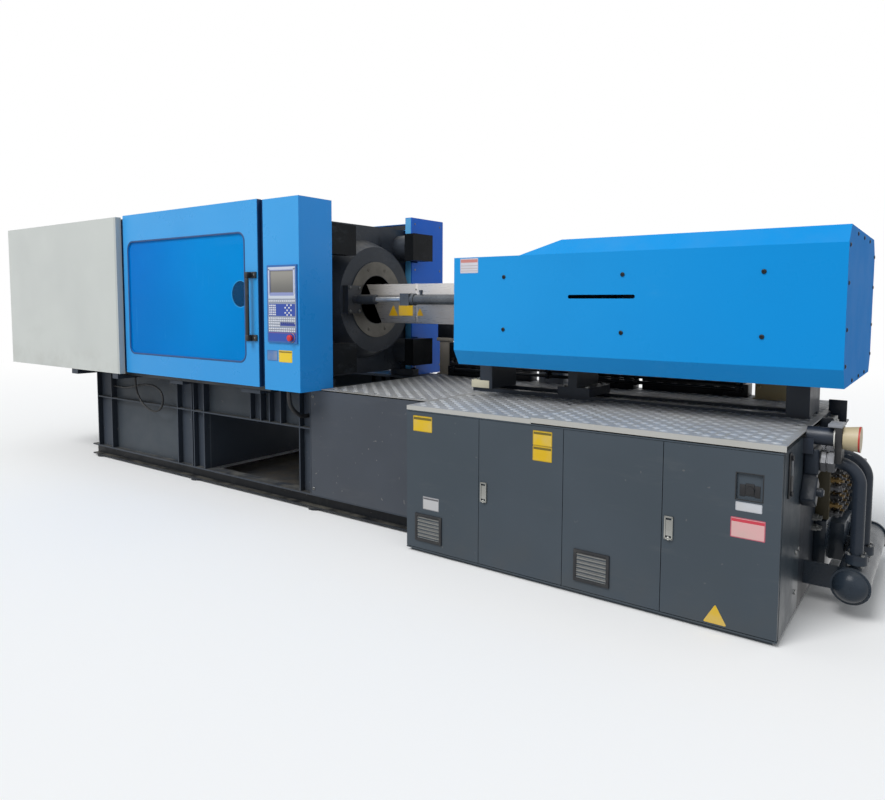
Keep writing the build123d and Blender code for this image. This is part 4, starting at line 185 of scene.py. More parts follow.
def enamel(name, code, shade_code, worn=0.0, dust=0.25, roughness=0.38, dust_code="8f8d86", end_shade_code=None):
    """Sprayed machine enamel: broad unevenness, rubbed streaks, dust on what faces up, orange peel.
    The end colour is painted shade: it is laid on faces that look towards +X, the sheets that close the +X
    end."""
    paint = Finish(name, code)
    paint.lay(paint.noise(0.9, 4).step(0.32, 0.72), shade_code)
    if end_shade_code:
        # Painted shade: faces that look towards +X get the darker end colour.
        paint.lay(paint.normal(0).step(0.8, 0.95), end_shade_code)
    paint.lay(paint.noise(2.4, 6, (1, 1, 4.5), 0.7).step(0.55, 0.85) * 0.10, dust_code)
    settled = paint.noise(7, 5).step(0.35, 0.7) * paint.normal(2).step(0.6, 0.95)
    paint.lay(settled * dust, dust_code)
    paint.lay(paint.z.fall(0.02, 0.32) * paint.noise(5, 5).step(0.35, 0.75) * 0.18, "57534b")
    chips = paint.noise(38, 2, (1, 1, 1), 0.4).step(0.735, 0.75)
    paint.lay(chips * paint.noise(1.7, 2).step(0.5, 0.62) * worn, "8d8a85")
    rough = paint.noise(6, 4).step(0.3, 0.7, roughness - 0.05, roughness + 0.09) + settled * 0.2
    return paint.close(rough, Normal=paint.peel(2.6, 0.0016, 0.35, 320), Specular_IOR_Level=0.22)


def dress(material, *names):
    """Gives CAD nodes this finish."""
    for name in names:
        piece = nodes[name]
        piece.data.materials.clear()
        piece.data.materials.append(material)


RAIL_TOP, PLATE_SUNK = 0.098, (0.6385, 0.6482)
paint = Finish("frame_enamel", "29303a")
broad = paint.noise(0.8, 4).step(0.32, 0.72)
paint.lay(broad, "20262e")
# Painted light: faces that look along Y, above the base rail, are painted lighter, as if lit from the front.
front = abs(paint.normal(1)).step(0.8, 0.95) * paint.z.step(RAIL_TOP, RAIL_TOP + 0.003)
paint.lay(front * 0.75, "414852")
paint.lay(abs(paint.y).within(*PLATE_SUNK, 0.0007), paint.mix(broad, "434a51", "393f46"))
# The base rail's web is painted near-black: partly dirt, partly painted shade for the recess under the rail's
# top flange.
web_shade_and_dirt = paint.z.fall(RAIL_TOP, RAIL_TOP + 0.002) * paint.z.step(0.020, 0.027)
paint.lay(web_shade_and_dirt * 0.85, "15171a")
paint.lay(paint.noise(3.2, 6, (3, 3, 0.35), 0.75).step(0.52, 0.85) * 0.16, "6a6862")
settled = paint.noise(9, 5).step(0.32, 0.66) * paint.normal(2).step(0.6, 0.95)
paint.lay(settled * 0.40, "7d796f")
chips = paint.noise(30, 3, (1, 1, 1), 0.5).step(0.70, 0.72) * paint.noise(1.5, 2).step(0.45, 0.6)
paint.lay(chips * 0.5, "777571")
low = paint.z.fall(0.0, 0.22) * paint.noise(4, 5).step(0.3, 0.7)
paint.lay(low * (1.0 - web_shade_and_dirt) * 0.25, "4f4a42")
rough = paint.noise(6, 4).step(0.3, 0.7, 0.38, 0.55) + settled * 0.2
fine = paint.bump(paint.noise(260, 2), 0.0003, 0.6)
dress(paint.close(rough, Normal=fine, Specular_IOR_Level=0.2), "bed_frame")
dress(enamel("side_panel_enamel", "4c525b", "434850", 0.5, 0.3), "bed_side_panels")
dress(enamel("support_enamel", "363d47", "2b3038", 0.4, 0.4), "carriage_supports", "injection_housing")


# Side-panel screws: zinc-plated heads with a hexagon socket, one at each corner of the two long
# panels. Geometry Nodes set one turned head on each point.
def piece_of(name, mesh, material, body="machine_base"):
    """Puts a finished mesh on a body of the machine."""
    piece = placed(name, mesh)
    if not mesh.materials:
        mesh.materials.append(material)
    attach(piece, body)


class Form:
    """A mesh being made of simple shapes. Each method adds one and gives the form back."""

    def __init__(self):
        self.made = bmesh.new()

    def loft(self, rings, caps=(True, True), hollow=False):
        """Joins rings of points, one after the other, and closes the first and the last with a face.
        A hollow form's last ring runs back to its first one instead."""
        rings = [[self.made.verts.new(point) for point in ring] for ring in rings]
        for ring, after in zip(rings, rings[1:] + rings[:1] if hollow else rings[1:]):
            for i in range(max(len(ring), len(after))):
                corners = [ring[i % len(ring)], ring[(i + 1) % len(ring)]]
                corners += [after[(i + 1) % len(after)], after[i % len(after)]]
                corners = list(dict.fromkeys(corners))
                if len(corners) > 2:
                    self.made.faces.new(corners)
        for ring, capped in () if hollow else zip((rings[0], rings[-1]), caps):
            if capped and len(ring) > 2:
                self.made.faces.new(ring)
        return self

    def turn(self, profile, centre, axis, steps=24, hollow=False):
        """Adds a turned form: profile is (along, radius) pairs, axis is 'X', 'Y' or 'Z'."""
        first, unit = "XYZ".index(axis), Matrix.Identity(3)
        along, one, two = [unit[(first + k) % 3] for k in range(3)]
        rings = []
        for length, radius in profile:
            middle = Vector(centre) + along * length
            angles = [2 * math.pi * i / steps for i in range(steps if radius else 1)]
            rings.append([middle + (one * math.cos(a) + two * math.sin(a)) * radius for a in angles])
        return self.loft(rings, hollow=hollow)

    def block(self, low, high, radius=0.0, segments=2):
        """Adds a block between two corners, its edges rounded to a radius."""
        low, high = Vector(low), Vector(high)
        place = Matrix.Translation((low + high) / 2) @ Matrix.Diagonal((*(high - low), 1))
        corners = bmesh.ops.create_cube(self.made, size=1, matrix=place)["verts"]
        if radius:
            edges = list({edge for corner in corners for edge in corner.link_edges})
            shaping = {"segments": segments, "affect": "EDGES", "profile": 0.5, "clamp_overlap": True}
            bmesh.ops.bevel(self.made, geom=edges, offset=radius, **shaping)
        return self

    def plate(self, outline, face):
        """Adds a thin plate with an outline in X and Z, on a face that looks towards -Y."""
        return self.loft([[(x, y, z) for x, z in outline] for y in (face + 0.0002, face - 0.0007)])

    def mesh(self, name, smooth_angle=30):
        """Ends the form: a mesh, smooth except at edges sharper than the angle."""
        bmesh.ops.remove_doubles(self.made, verts=self.made.verts, dist=0.000002)
        bmesh.ops.recalc_face_normals(self.made, faces=self.made.faces)
        limit = math.radians(smooth_angle)
        for edge in self.made.edges:
            edge.smooth = len(edge.link_faces) == 2 and edge.calc_face_angle(0) < limit
        for face in self.made.faces:
            face.smooth = True
        mesh = bpy.data.meshes.new(name)
        self.made.to_mesh(mesh)
        self.made.free()
        return mesh

    def piece(self, name, material, slot, body="machine_base", smooth_angle=30):
        """Ends the form as a piece on a body."""
        piece_of(name, self.mesh(name, smooth_angle), material, body)


def grown(name, mesh, places, material, body="machine_base", facing=(0, 0, 0), row=None):
    """Sets a small mesh on each place by Geometry Nodes and keeps the result as one piece. facing is
    the angles that turn its +Z outwards. With a row, as (how many, start, axis, pitch), each place
    gets a row of them."""
    growth = Graph(bpy.data.node_groups.new(name, "GeometryNodeTree"))
    faces = growth.tree.interface
    for way in ("INPUT", "OUTPUT"):
        faces.new_socket("Geometry", in_out=way, socket_type="NodeSocketGeometry")
    sizes = {"Scale": 1.0, "Count": row[0], "Pitch": row[3]} if row else {"Scale": 1.0}
    given = {}
    for size, value in sizes.items():
        kind = "NodeSocketInt" if size == "Count" else "NodeSocketFloat"
        given[faces.new_socket(size, in_out="INPUT", socket_type=kind).identifier] = value
    inputs = growth.tree.nodes.new("NodeGroupInput").outputs
    entry = {size.name: Wire(growth, size) for size in inputs}
    unit = bpy.data.objects.new(name + "_unit", mesh)
    own = {"transform_space": "ORIGINAL"}
    made = growth.node("GeometryNodeObjectInfo", own, {"Object": unit}, "Geometry")
    if row:
        pitch = growth.node("ShaderNodeCombineXYZ", sockets={row[2]: entry["Pitch"]})
        line = {"Count": entry["Count"], "Start Location": row[1], "Offset": pitch}
        sockets = {"Points": growth.node("GeometryNodeMeshLine", sockets=line), "Instance": made}
        made = growth.node("GeometryNodeInstanceOnPoints", sockets=sockets)
    sockets = {"Points": entry["Geometry"], "Instance": made, "Rotation": facing, "Scale": entry["Scale"]}
    made = growth.node("GeometryNodeInstanceOnPoints", sockets=sockets)
    made = growth.node("GeometryNodeRealizeInstances", sockets={0: made})
    made = growth.node("GeometryNodeSetMaterial", sockets={0: made, "Material": material})
    growth.node("NodeGroupOutput", sockets={0: made})
    points = bpy.data.meshes.new("places")
    points.from_pydata(places, [], [])
    seed = placed(name + "_seed", points)
    modifier = seed.modifiers.new("growth", "NODES")
    modifier.node_group = growth.tree
    for identifier, value in given.items():
        modifier[identifier] = value
    bpy.context.view_layer.update()
    result = bpy.data.meshes.new_from_object(seed.evaluated_get(bpy.context.evaluated_depsgraph_get()))
    bpy.data.objects.remove(seed)
    bpy.data.objects.remove(unit)
    piece_of(name, result, material, body)


def metal(name, code, dark_code, roughness, brushed=(1, 1, 1), grime=0.2, metallic=None):
    """Bare metal: uneven oxide, fine machining lines along one axis, and grime in patches."""
    bare = Finish(name, code)
    bare.lay(bare.noise(3.5, 5).step(0.3, 0.7), dark_code)
    dirt = bare.noise(6, 6, (1, 1, 1), 0.7).step(0.56, 0.8)
    bare.lay(dirt * grime, "3b3834")
    lines = bare.noise(14, 3, brushed, 0.6)
    rough = lines.step(0.3, 0.7, roughness - 0.06, roughness + 0.08) + dirt * 0.15
    shine = metallic or 1.0 - dirt * grime
    return bare.close(rough, Metallic=shine, Normal=bare.bump(lines, 0.0003, 0.35))


def grid(xs, ys, zs):
    """Every place with one of these xs, one of these ys and one of these zs."""
    return [(x, y, z) for x in xs for y in ys for z in zs]


zinc = metal("zinc_screws", "8b8d8c", "6d6f70", 0.35, grime=0.3)
UP = (0, 0, 0)
FRONT, REAR = (math.radians(90), 0, 0), (math.radians(-90), 0, 0)
RIGHT, LEFT = (0, math.radians(90), 0), (0, math.radians(-90), 0)
HEAD = ((0.55, 1), (0.9, 0.82), (1, 0.55), (1, 0.46), (0.35, 0.42), (0.35, 0))


def screws(name, places, facing, radius, crown, material=zinc, body="machine_base"):
    """Pan heads with a hexagon socket, one on each place."""
    profile = [(-0.0005, radius)] + [(crown * rise, radius * share) for rise, share in HEAD]
    head = Form().turn(profile, (0, 0, 0), "Z", 12).mesh(name + "_head", 40)
    grown(name, head, places, material, body, facing)


for name, y, facing in (("side_panel_screws", -0.696, FRONT), ("rear_panel_screws", 0.696, REAR)):
    screws(name, grid((0.345, 1.285), (y,), (0.150, 0.770)), facing, 0.011, 0.006)


# Chute tray: a dark sheet on the floor inside the bed, where the moulded parts drop, with its
# edges turned up. It is loose, so that it can be pulled out from the operator's side.
tray = Form().block((-1.100, -0.585, 0.0003), (0.250, 0.585, 0.0033), 0.0008)
for left, right, near in ((-1.100, -1.097, -0.585), (0.247, 0.250, -0.585), (-1.100, 0.250, 0.582)):
    tray.block((left, near, 0.0003), (right, 0.585, 0.0160), 0.0008)
tray_paint = enamel("tray_enamel", "4a4c50", "3a3833", 1.0, 0.5, 0.5, "6f675a")
tray.piece("chute_tray", tray_paint, "frame_paint")


# Floor, sky and lamps: a plain pale floor that keeps the machine's shadow, an even sky,
# and two broad suns from the operator's side, high and soft.
RAYS = ("Is Camera Ray", "Is Glossy Ray", "Is Transmission Ray")
WHITE = (1, 1, 1, 1)
ground = Form()
bmesh.ops.create_grid(ground.made, x_segments=1, y_segments=1, size=60)
floor = placed("floor", ground.mesh("floor"))
screed = Finish("pale_floor")
seen, mirrored, through = [screed.node("ShaderNodeLightPath", out=ray) for ray in RAYS]
shade = screed.mix(seen, (0.62, 0.62, 0.62, 1), (0.93, 0.93, 0.93, 1))
matt = screed.node("ShaderNodeBsdfDiffuse", sockets={"Color": shade})
plain = screed.node("ShaderNodeEmission", sockets={"Color": (0.80, 0.80, 0.80, 1), "Strength": 1.0})
white = screed.node("ShaderNodeEmission", sockets={"Color": WHITE, "Strength": 1.0})
reflected = mirrored.math("MAXIMUM", through)
near = screed.node("ShaderNodeMixShader", sockets={0: reflected, 1: matt, 2: plain})
far = (screed.x * screed.x + screed.y * screed.y).math("SQRT").step(4.5, 14.0) * seen
whole = screed.node("ShaderNodeMixShader", sockets={0: far, 1: near, 2: white})
screed.node("ShaderNodeOutputMaterial", sockets={"Surface": whole})
floor.data.materials.append(screed.material)

world = bpy.data.worlds.new("even_sky")
bpy.context.scene.world = world
world.use_nodes = True
world.node_tree.nodes.clear()
sky = Graph(world.node_tree)
seen, mirrored, through = [sky.node("ShaderNodeLightPath", out=ray) for ray in RAYS]
share = seen.math("MAXIMUM", mirrored).math("MAXIMUM", through)
light = sky.node("ShaderNodeBackground", sockets={"Color": (0.95, 0.98, 1.0, 1), "Strength": 0.50})
bright = sky.node("ShaderNodeBackground", sockets={"Color": WHITE, "Strength": 1.0})
whole = sky.node("ShaderNodeMixShader", sockets={0: share, 1: light, 2: bright})
sky.node("ShaderNodeOutputWorld", sockets={"Surface": whole})


def sun(name, strength, angle, height, bearing):
    """A sun seen at a height above the floor, from a bearing counted from +X towards +Y, in degrees."""
    lamp = placed(name, bpy.data.lights.new(name, "SUN"))
    lamp.data.energy = strength
    lamp.data.angle = math.radians(angle)
    lamp.rotation_euler = Euler((0, math.radians(90 - height), math.radians(bearing)), "XYZ")


sun("key_sun", 2.0, 30, 50, -105)
sun("fill_sun", 0.20, 60, 25, -30)


# Cable loop: a black lead that leaves the bed's end post, droops in one loose turn behind the
# front rail and goes up into the cover's arm. It is fastened at both ends.
def lead(name, route, radius, material, node):
    """A cord on one smooth spline through its route's control points, in place of its CAD tube."""
    curve = bpy.data.curves.new(name, "CURVE")
    curve.dimensions = "3D"
    spline = curve.splines.new("NURBS")
    spline.points.add(len(route) - 1)
    for point, place in zip(spline.points, route):
        point.co = (*place, 1)
    spline.order_u = 3
    spline.use_endpoint_u = True
    spline.resolution_u = 12
    curve.resolution_u = 12
    curve.bevel_depth = radius
    curve.bevel_resolution = 5
    curve.use_fill_caps = True
    curve.materials.append(material)
    piece = placed(name, curve)
    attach(piece, "machine_base")
    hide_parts(node)
    return piece


sheath = Finish("cable_sheath", "121316")
sheath.lay(sheath.noise(22, 4).step(0.4, 0.75) * sheath.normal(2).step(-0.2, 0.9) * 0.25, "3c3b39")
rough = sheath.noise(40, 3).step(0.3, 0.7, 0.42, 0.6)
rubber = sheath.close(rough, Normal=sheath.bump(sheath.noise(500, 2), 0.0002, 0.6))
CABLE_ROUTE = (
    (-2.176, -0.672, 0.654),
    (-2.086, -0.672, 0.654),
    (-1.980, -0.688, 0.654),
    (-1.860, -0.710, 0.668),
    (-1.740, -0.722, 0.690),
    (-1.630, -0.728, 0.708),
    (-1.530, -0.732, 0.716),
    (-1.430, -0.732, 0.708),
    (-1.348, -0.734, 0.668),
    (-1.318, -0.738, 0.596),
    (-1.356, -0.741, 0.528),
    (-1.436, -0.744, 0.502),
    (-1.530, -0.746, 0.518),
    (-1.612, -0.748, 0.562),
    (-1.672, -0.748, 0.626),
    (-1.700, -0.748, 0.696),
    (-1.700, -0.748, 0.770),
)
cable = lead("cable_loop_lead", CABLE_ROUTE, 0.008, rubber, "cable_loop")


# Column conduit: a short hose from under the operator column into the bed's post.
CONDUIT_ROUTE = (
    (0.285, -0.850, 0.815),
    (0.285, -0.850, 0.748),
    (0.283, -0.822, 0.694),
    (0.278, -0.774, 0.656),
    (0.270, -0.718, 0.630),
    (0.270, -0.656, 0.630),
)
conduit = lead("column_conduit_hose", CONDUIT_ROUTE, 0.014, rubber, "column_conduit")


# Power cabinet: folded steel leaves in slate-grey enamel, hung on hidden pins, on a dark plinth.
# The leaves carry pressed vents, flush paddle latches, a sunk start button and bare plates.
# The cabinet's +X end sheet gets painted shade through the end colour.
slate = enamel("cabinet_enamel", "48515a", "424b53", 0.25, 0.2, 0.36, end_shade_code="333c44")
dress(slate, "power_cabinet", "leaf_1", "leaf_2", "leaf_3", "leaf_4")


def moulded(name, code, roughness=0.5):
    """Moulded plastic: fine spark-eroded grain, slightly uneven sheen and a little dust."""
    plastic = Finish(name, code)
    plastic.lay(plastic.noise(15, 5).step(0.5, 0.8) * 0.12, "8b8880")
    rough = plastic.noise(10, 3).step(0.3, 0.7, roughness - 0.05, roughness + 0.08)
    return plastic.close(rough, Normal=plastic.bump(plastic.noise(600, 2), 0.00012, 0.5))


def frame_bars(x, z, y, width, lap, radius):
    """Four bars round an opening in a leaf; the level ones start inside the upright ones."""
    bars = Form()
    for left, right in ((x[0], x[0] + width), (x[1] - width, x[1])):
        bars.block((left, y[0], z[0]), (right, y[1], z[1]), radius)
    for low, high in ((z[0], z[0] + width), (z[1] - width, z[1])):
        bars.block((x[0] + lap, y[0], low), (x[1] - lap, y[1], high), radius)
    return bars


black_plastic = moulded("vent_black", "1b1d21")
slat_grey = moulded("vent_slat_grey", "7b7c7a")
SLAT = ((-0.9095, 0.0), (-0.9085, -0.0012), (-0.9005, 0.0062), (-0.9012, 0.0075))
for leaf, left, right in ((1, 1.3775, 1.5535), (3, 2.3395, 2.5155)):
    body = f"leaf_body_{leaf}"
    vent = frame_bars((left - 0.002, right + 0.002), (0.072, 0.226), (-0.9115, -0.9022), 0.0155, 0.012, 0.002)
    vent.piece(f"vent_frame_leaf_{leaf}", black_plastic, "cabinet_paint", body)
    ends = [[(x, y, z) for y, z in SLAT] for x in (left + 0.013, right - 0.013)]
    slat = Form().loft(ends).mesh("vent_slat")
    row = (12, (0.0, 0.0, 0.0905), "Z", 0.0101)
    grown(f"vent_slats_leaf_{leaf}", slat, [(0, 0, 0)], slat_grey, body, row=row)


# Paddle latches: a die-cast zinc frame round the lever, with rounded ends and a lock barrel.
latch_zinc = metal("latch_zinc", "b9bab6", "8f908c", 0.28, grime=0.25)
dress(latch_zinc, "latch_lever_1", "latch_lever_2")
LOCK = ((0, 0.0078), (-0.0030, 0.0078), (-0.0036, 0.0070), (-0.0036, 0.0040), (-0.0016, 0.0036), (-0.0016, 0))
for leaf, middle in ((2, 1.8245), (4, 2.7865)):
    latch = Form().turn(LOCK, (middle, -0.9110, 0.3665), "Y", 20)
    for left, right, low, high in (
        (-0.0195, -0.0125, 0.3620, 0.4640),
        (0.0125, 0.0195, 0.3620, 0.4640),
        (-0.0190, 0.0190, 0.4570, 0.4650),
        (-0.0190, 0.0190, 0.3610, 0.3690),
    ):
        latch.block((middle + left, -0.9118, low), (middle + right, -0.9026, high), 0.0016)
    latch.piece(f"latch_frame_leaf_{leaf}", latch_zinc, "hard_chrome", f"leaf_body_{leaf}")


# Plates on the leaves: thin anodised or printed sheets with rounded corners, left bare of words.
# Each is a blank in the colour of the real one, stuck flat on the enamel.
def rounded(tips, radius, spread, steps=4):
    """An outline of arcs round the tips' centres; a tip is x, z and the direction it points in."""
    outline = []
    for x, z, middle in tips:
        for step in range(steps + 1):
            turned = math.radians(middle - spread / 2 + spread * step / steps)
            outline.append((x + radius * math.cos(turned), z + radius * math.sin(turned)))
    return outline


def rounded_box(x, z, radius=0.004, steps=4):
    """The outline of a rectangle with round corners."""
    left, right, low, high = x[0] + radius, x[1] - radius, z[0] + radius, z[1] - radius
    tips = ((right, high, 45), (left, high, 135), (left, low, 225), (right, low, 315))
    return rounded(tips, radius, 90, steps)


def rounded_triangle(corners):
    """The outline of an upright triangle, its corners rounded to 4 mm: left, right and top."""
    tips = []
    for (x, z), middle in zip(corners, (210, 330, 90)):
        turned = math.radians(middle)
        tips.append((x - 0.008 * math.cos(turned), z - 0.008 * math.sin(turned), middle))
    return rounded(tips, 0.004, 120)


def print_of(name, x, z, code, border_code, border, bands=()):
    """A printed plate: a faded field with a border, and plain bands of colour."""
    film = Finish(name, code)
    film.lay(film.noise(9, 4).step(0.35, 0.75) * 0.35, "b5b0a4")
    for low, high, band_code in bands:
        film.lay(film.z.within(low, high, 0.0008), band_code)
    inside = film.x.within(x[0] + border, x[1] - border, 0.0008)
    inside = inside * film.z.within(z[0] + border, z[1] - border, 0.0008)
    film.colour = film.mix(inside, border_code, film.colour)
    return film.close(film.noise(30, 3).step(0.3, 0.7, 0.28, 0.5))


def stuck(name, face, x, z, code, border_code, border, bands, slot, body="machine_base"):
    """Sticks a printed plate on a face."""
    material = print_of(name + "_print", x, z, code, border_code, border, bands)
    Form().plate(rounded_box(x, z), face).piece(name, material, slot, body)


LEAF_FACE = -0.903
YELLOW, YELLOW_EDGE, DARK = "dab408", "bd9a08", "6a5c18"
for name, leaf, x, z, code, border_code, bands in (
    ("yellow_plate_1", 1, (1.358, 1.488), (0.684, 0.770), YELLOW, YELLOW_EDGE, ((0.7475, 0.7625, DARK),)),
    ("yellow_plate_2", 2, (2.108, 2.213), (0.696, 0.769), YELLOW, YELLOW_EDGE, ((0.7505, 0.7630, DARK),)),
    ("yellow_plate_3", 2, (2.108, 2.213), (0.620, 0.6945), "d6ae08", YELLOW_EDGE, ((0.6760, 0.6885, DARK),)),
    ("grey_plate", 1, (1.426, 1.535), (0.254, 0.326), "b9b9bb", "8c8c90", ((0.3100, 0.3200, "5c5c60"),)),
    ("white_plate", 4, (3.059, 3.162), (0.541, 0.578), "c3c6cc", "b2b5bb", ()),
    ("pink_plate", 4, (3.042, 3.177), (0.426, 0.512), "d9a8a8", "b5596a", ((0.4930, 0.5065, "c43a4a"),)),
):
    stuck(name, LEAF_FACE, x, z, code, border_code, 0.0035, bands, "cabinet_paint", f"leaf_body_{leaf}")
triangle = rounded_triangle(((2.943, 0.036), (3.040, 0.036), (2.9915, 0.120)))
yellow_print = print_of("triangle_print", (2.94, 3.05), (0.03, 0.13), "dab208", "dab208", 0.0)
Form().plate(triangle, LEAF_FACE).piece("yellow_triangle", yellow_print, "cabinet_paint", "leaf_body_4")


# Switchgear: a plated mounting sheet in each bay with three ranks of devices: black contactors
# below, pale drives in the middle and dark breakers on top, with slotted wiring ducts between.
PLATE_FRONT = -0.509
BAYS = ((1.371, 2.213), (2.333, 3.175))
part = Finish("switchgear_finish", "b7b49c")
mottle = part.noise(6, 4).step(0.3, 0.7)
part.lay(mottle, "9c9a86")
ranks = part.mix(part.z.step(0.29, 0.30), "26282c", "c4c6c3")
ranks = part.mix(part.z.step(0.48, 0.49), ranks, "3d4246")
part.lay(part.y.fall(PLATE_FRONT - 0.0015, PLATE_FRONT - 0.0005), part.mix(mottle * 0.3, ranks, "77777a"))
rough = part.noise(9, 3).step(0.3, 0.7, 0.38, 0.55)
dress(part.close(rough, Normal=part.bump(part.noise(400, 2), 0.0001, 0.4)), "switchgear")
duct_plastic = moulded("wiring_duct_grey", "8d9296")
ducts = Form()
faces = Form()
CAP = ((0.001, 0.0), (0.001, 0.0045), (-0.002, 0.0045), (-0.0026, 0.003), (-0.0026, 0.0))
RANKS = ((0.160, 0.090, 0.070, 6), (0.340, 0.120, 0.090, 4), (0.520, 0.080, 0.060, 8))
for left, right in BAYS:
    for low, high in ((0.278, 0.316), (0.476, 0.506), (0.640, 0.690)):
        ducts.block((left + 0.010, PLATE_FRONT - 0.046, low), (right - 0.010, PLATE_FRONT, high), 0.001)
    for base, height, depth, devices in RANKS:
        pitch = (right - left) / devices
        face = PLATE_FRONT - depth
        low, high = base + 0.36 * height, base + 0.64 * height
        for k in range(devices):
            middle = left + (k + 0.5) * pitch
            corners = (middle - 0.2 * pitch, face - 0.004, low), (middle + 0.2 * pitch, face + 0.001, high)
            faces.block(*corners, 0.0012)
            xs = [middle + share * pitch for share in (-0.2, 0.0, 0.2)]
            for place in grid(xs, (face,), (base + 0.14 * height, base + 0.86 * height)):
                faces.turn(CAP, place, "Y", 8)
ducts.piece("wiring_ducts", duct_plastic, "switchgear_grey")
tooth = Form().block((-0.0022, -0.0015, -0.0005), (0.0022, 0.0015, 0.0070)).mesh("duct_tooth")
starts = grid([left + 0.014 for left, _ in BAYS], (PLATE_FRONT - 0.044,), (0.316, 0.506, 0.690))
row = (80, (0.0, 0.0, 0.0), "X", 0.0103)
grown("duct_teeth", tooth, starts, duct_plastic, row=row)
faces.piece("device_faces", slat_grey, "switchgear_grey")


# Start button: a black switch block in the sunk pocket of the last leaf, with a lit green cap
# and a raised bezel round the pocket.
switch_black = moulded("switch_black", "15161a", 0.4)
switch = Form().block((3.0935, -0.8945, 0.6050), (3.1275, -0.8912, 0.6560), 0.001)
collar = ((0, 0.0165), (0.004, 0.0165), (0.0052, 0.0150), (0.0052, 0.0118), (0.001, 0.0118))
switch.turn(collar, (3.1105, -0.8998, 0.6295), "Y", 28)
for left, right in ((3.0705, 3.0925), (3.1285, 3.1505)):
    switch.block((left, -0.8935, 0.6010), (right, -0.8912, 0.6500), 0.001)
switch.piece("start_switch", switch_black, "cabinet_paint", "leaf_body_4")
lens = Finish("green_lens", "2fae6c")
lens.lay(lens.noise(60, 2).step(0.3, 0.7), "7fe3b0")
dress(lens.close(0.2, Emission_Color=lens.colour, Emission_Strength=0.25), "green_button")
bezel = frame_bars((3.0555, 3.1655), (0.5855, 0.7015), (-0.9042, -0.9025), 0.004, 0.003, 0.0006)
bezel.piece("pocket_bezel", switch_black, "cabinet_paint", "leaf_body_4")


# Level gauge on the cabinet's end: a black moulded housing with a clear tube down its middle,
# screwed to the end sheet top and bottom.
GAUGE_Y = -0.782
gauge = Form().block((3.2348, GAUGE_Y - 0.018, 0.592), (3.2425, GAUGE_Y + 0.018, 0.782), 0.003, 3)
for z in (0.612, 0.762):
    knob = ((0, 0.0), (0, 0.009), (0.004, 0.011), (0.010, 0.011), (0.012, 0.0))
    gauge.turn(knob, (3.2415, GAUGE_Y, z), "X", 20)
gauge.piece("gauge_housing", black_plastic, "cable_black")
sight = Finish("gauge_sight", "4b5157")
sight.lay(sight.z.fall(0.688, 0.690), "2b2c2d")
sight_glass = sight.close(sight.noise(20, 2).step(0.3, 0.7, 0.08, 0.18), Coat_Weight=0.5)
tube = ((0, 0), (0, 0.005), (0.002, 0.006), (0.128, 0.006), (0.130, 0.005), (0.130, 0))
Form().turn(tube, (3.2445, GAUGE_Y, 0.622), "Z", 16).piece("gauge_tube", sight_glass, "window_film")


# Tread plates: sheet with raised bars, bright where feet rub them and dull with dust between, its
# front edge folded down into a lip. The bars are real, in groups of four on a grid, every second
# group turned across; the two ways are painted a lit and a shaded grey, painted light on their
# flanks. Sheet and bars are painted darker towards the rear and the platen end, as painted shade.
TREAD_TOP, STEP_TOP = 0.822, 0.830
sheet = Finish("worn_tread", "a6a7a9")
sheet.lay(sheet.noise(5, 6, (1, 1, 1), 0.7).step(0.38, 0.72), "989792")
sheet.lay(sheet.noise(1.3, 4).step(0.5, 0.75) * 0.30, "6e6c67")
# Painted shade: the sheet is painted darker towards the rear, under the injection cover's overhang, and
# towards the platen end.
sheet.lay(sheet.y.step(-0.35, 0.5) * 0.30, "5d5a56")
sheet.lay(sheet.x.fall(0.4, 1.5) * 0.30, "5d5a55")
sheet.lay(sheet.y.fall(-0.9035, -0.9015) * 0.85, "b7b6b0")
sheet.lay(sheet.noise(60, 4, (1, 1, 1), 0.6).step(0.66, 0.72) * 0.5, "d2cfc6")
rough = sheet.noise(12, 5).step(0.3, 0.7, 0.42, 0.68)
shine = sheet.normal(2).step(0.5, 0.95) * 0.25
dress(sheet.close(rough, Metallic=shine, Normal=sheet.bump(sheet.noise(180, 3), 0.0004, 0.6)), "tread_plates")
rim, crest = [], []
for i in range(8):
    turned = math.radians(45 * (i + 0.5))
    rim.append((0.0165 * math.cos(turned), 0.0036 * math.sin(turned), -0.0003))
    crest.append((0.0135 * math.cos(turned), 0.0019 * math.sin(turned), 0.0018))
bar = Form().loft([rim, crest], (False, True)).mesh("tread_bar", 60)
GROUP_PITCH, BAR_PITCH = 0.046, 0.0088
FIELDS = (
    ("tread_bars_left", (0.430, 1.305), (-0.690, 0.685), TREAD_TOP),
    ("tread_bars_middle", (1.316, 2.088), (-0.896, 0.685), TREAD_TOP),
    ("tread_bars_right", (2.100, 3.238), (-0.896, 0.685), STEP_TOP),
)
ways = []
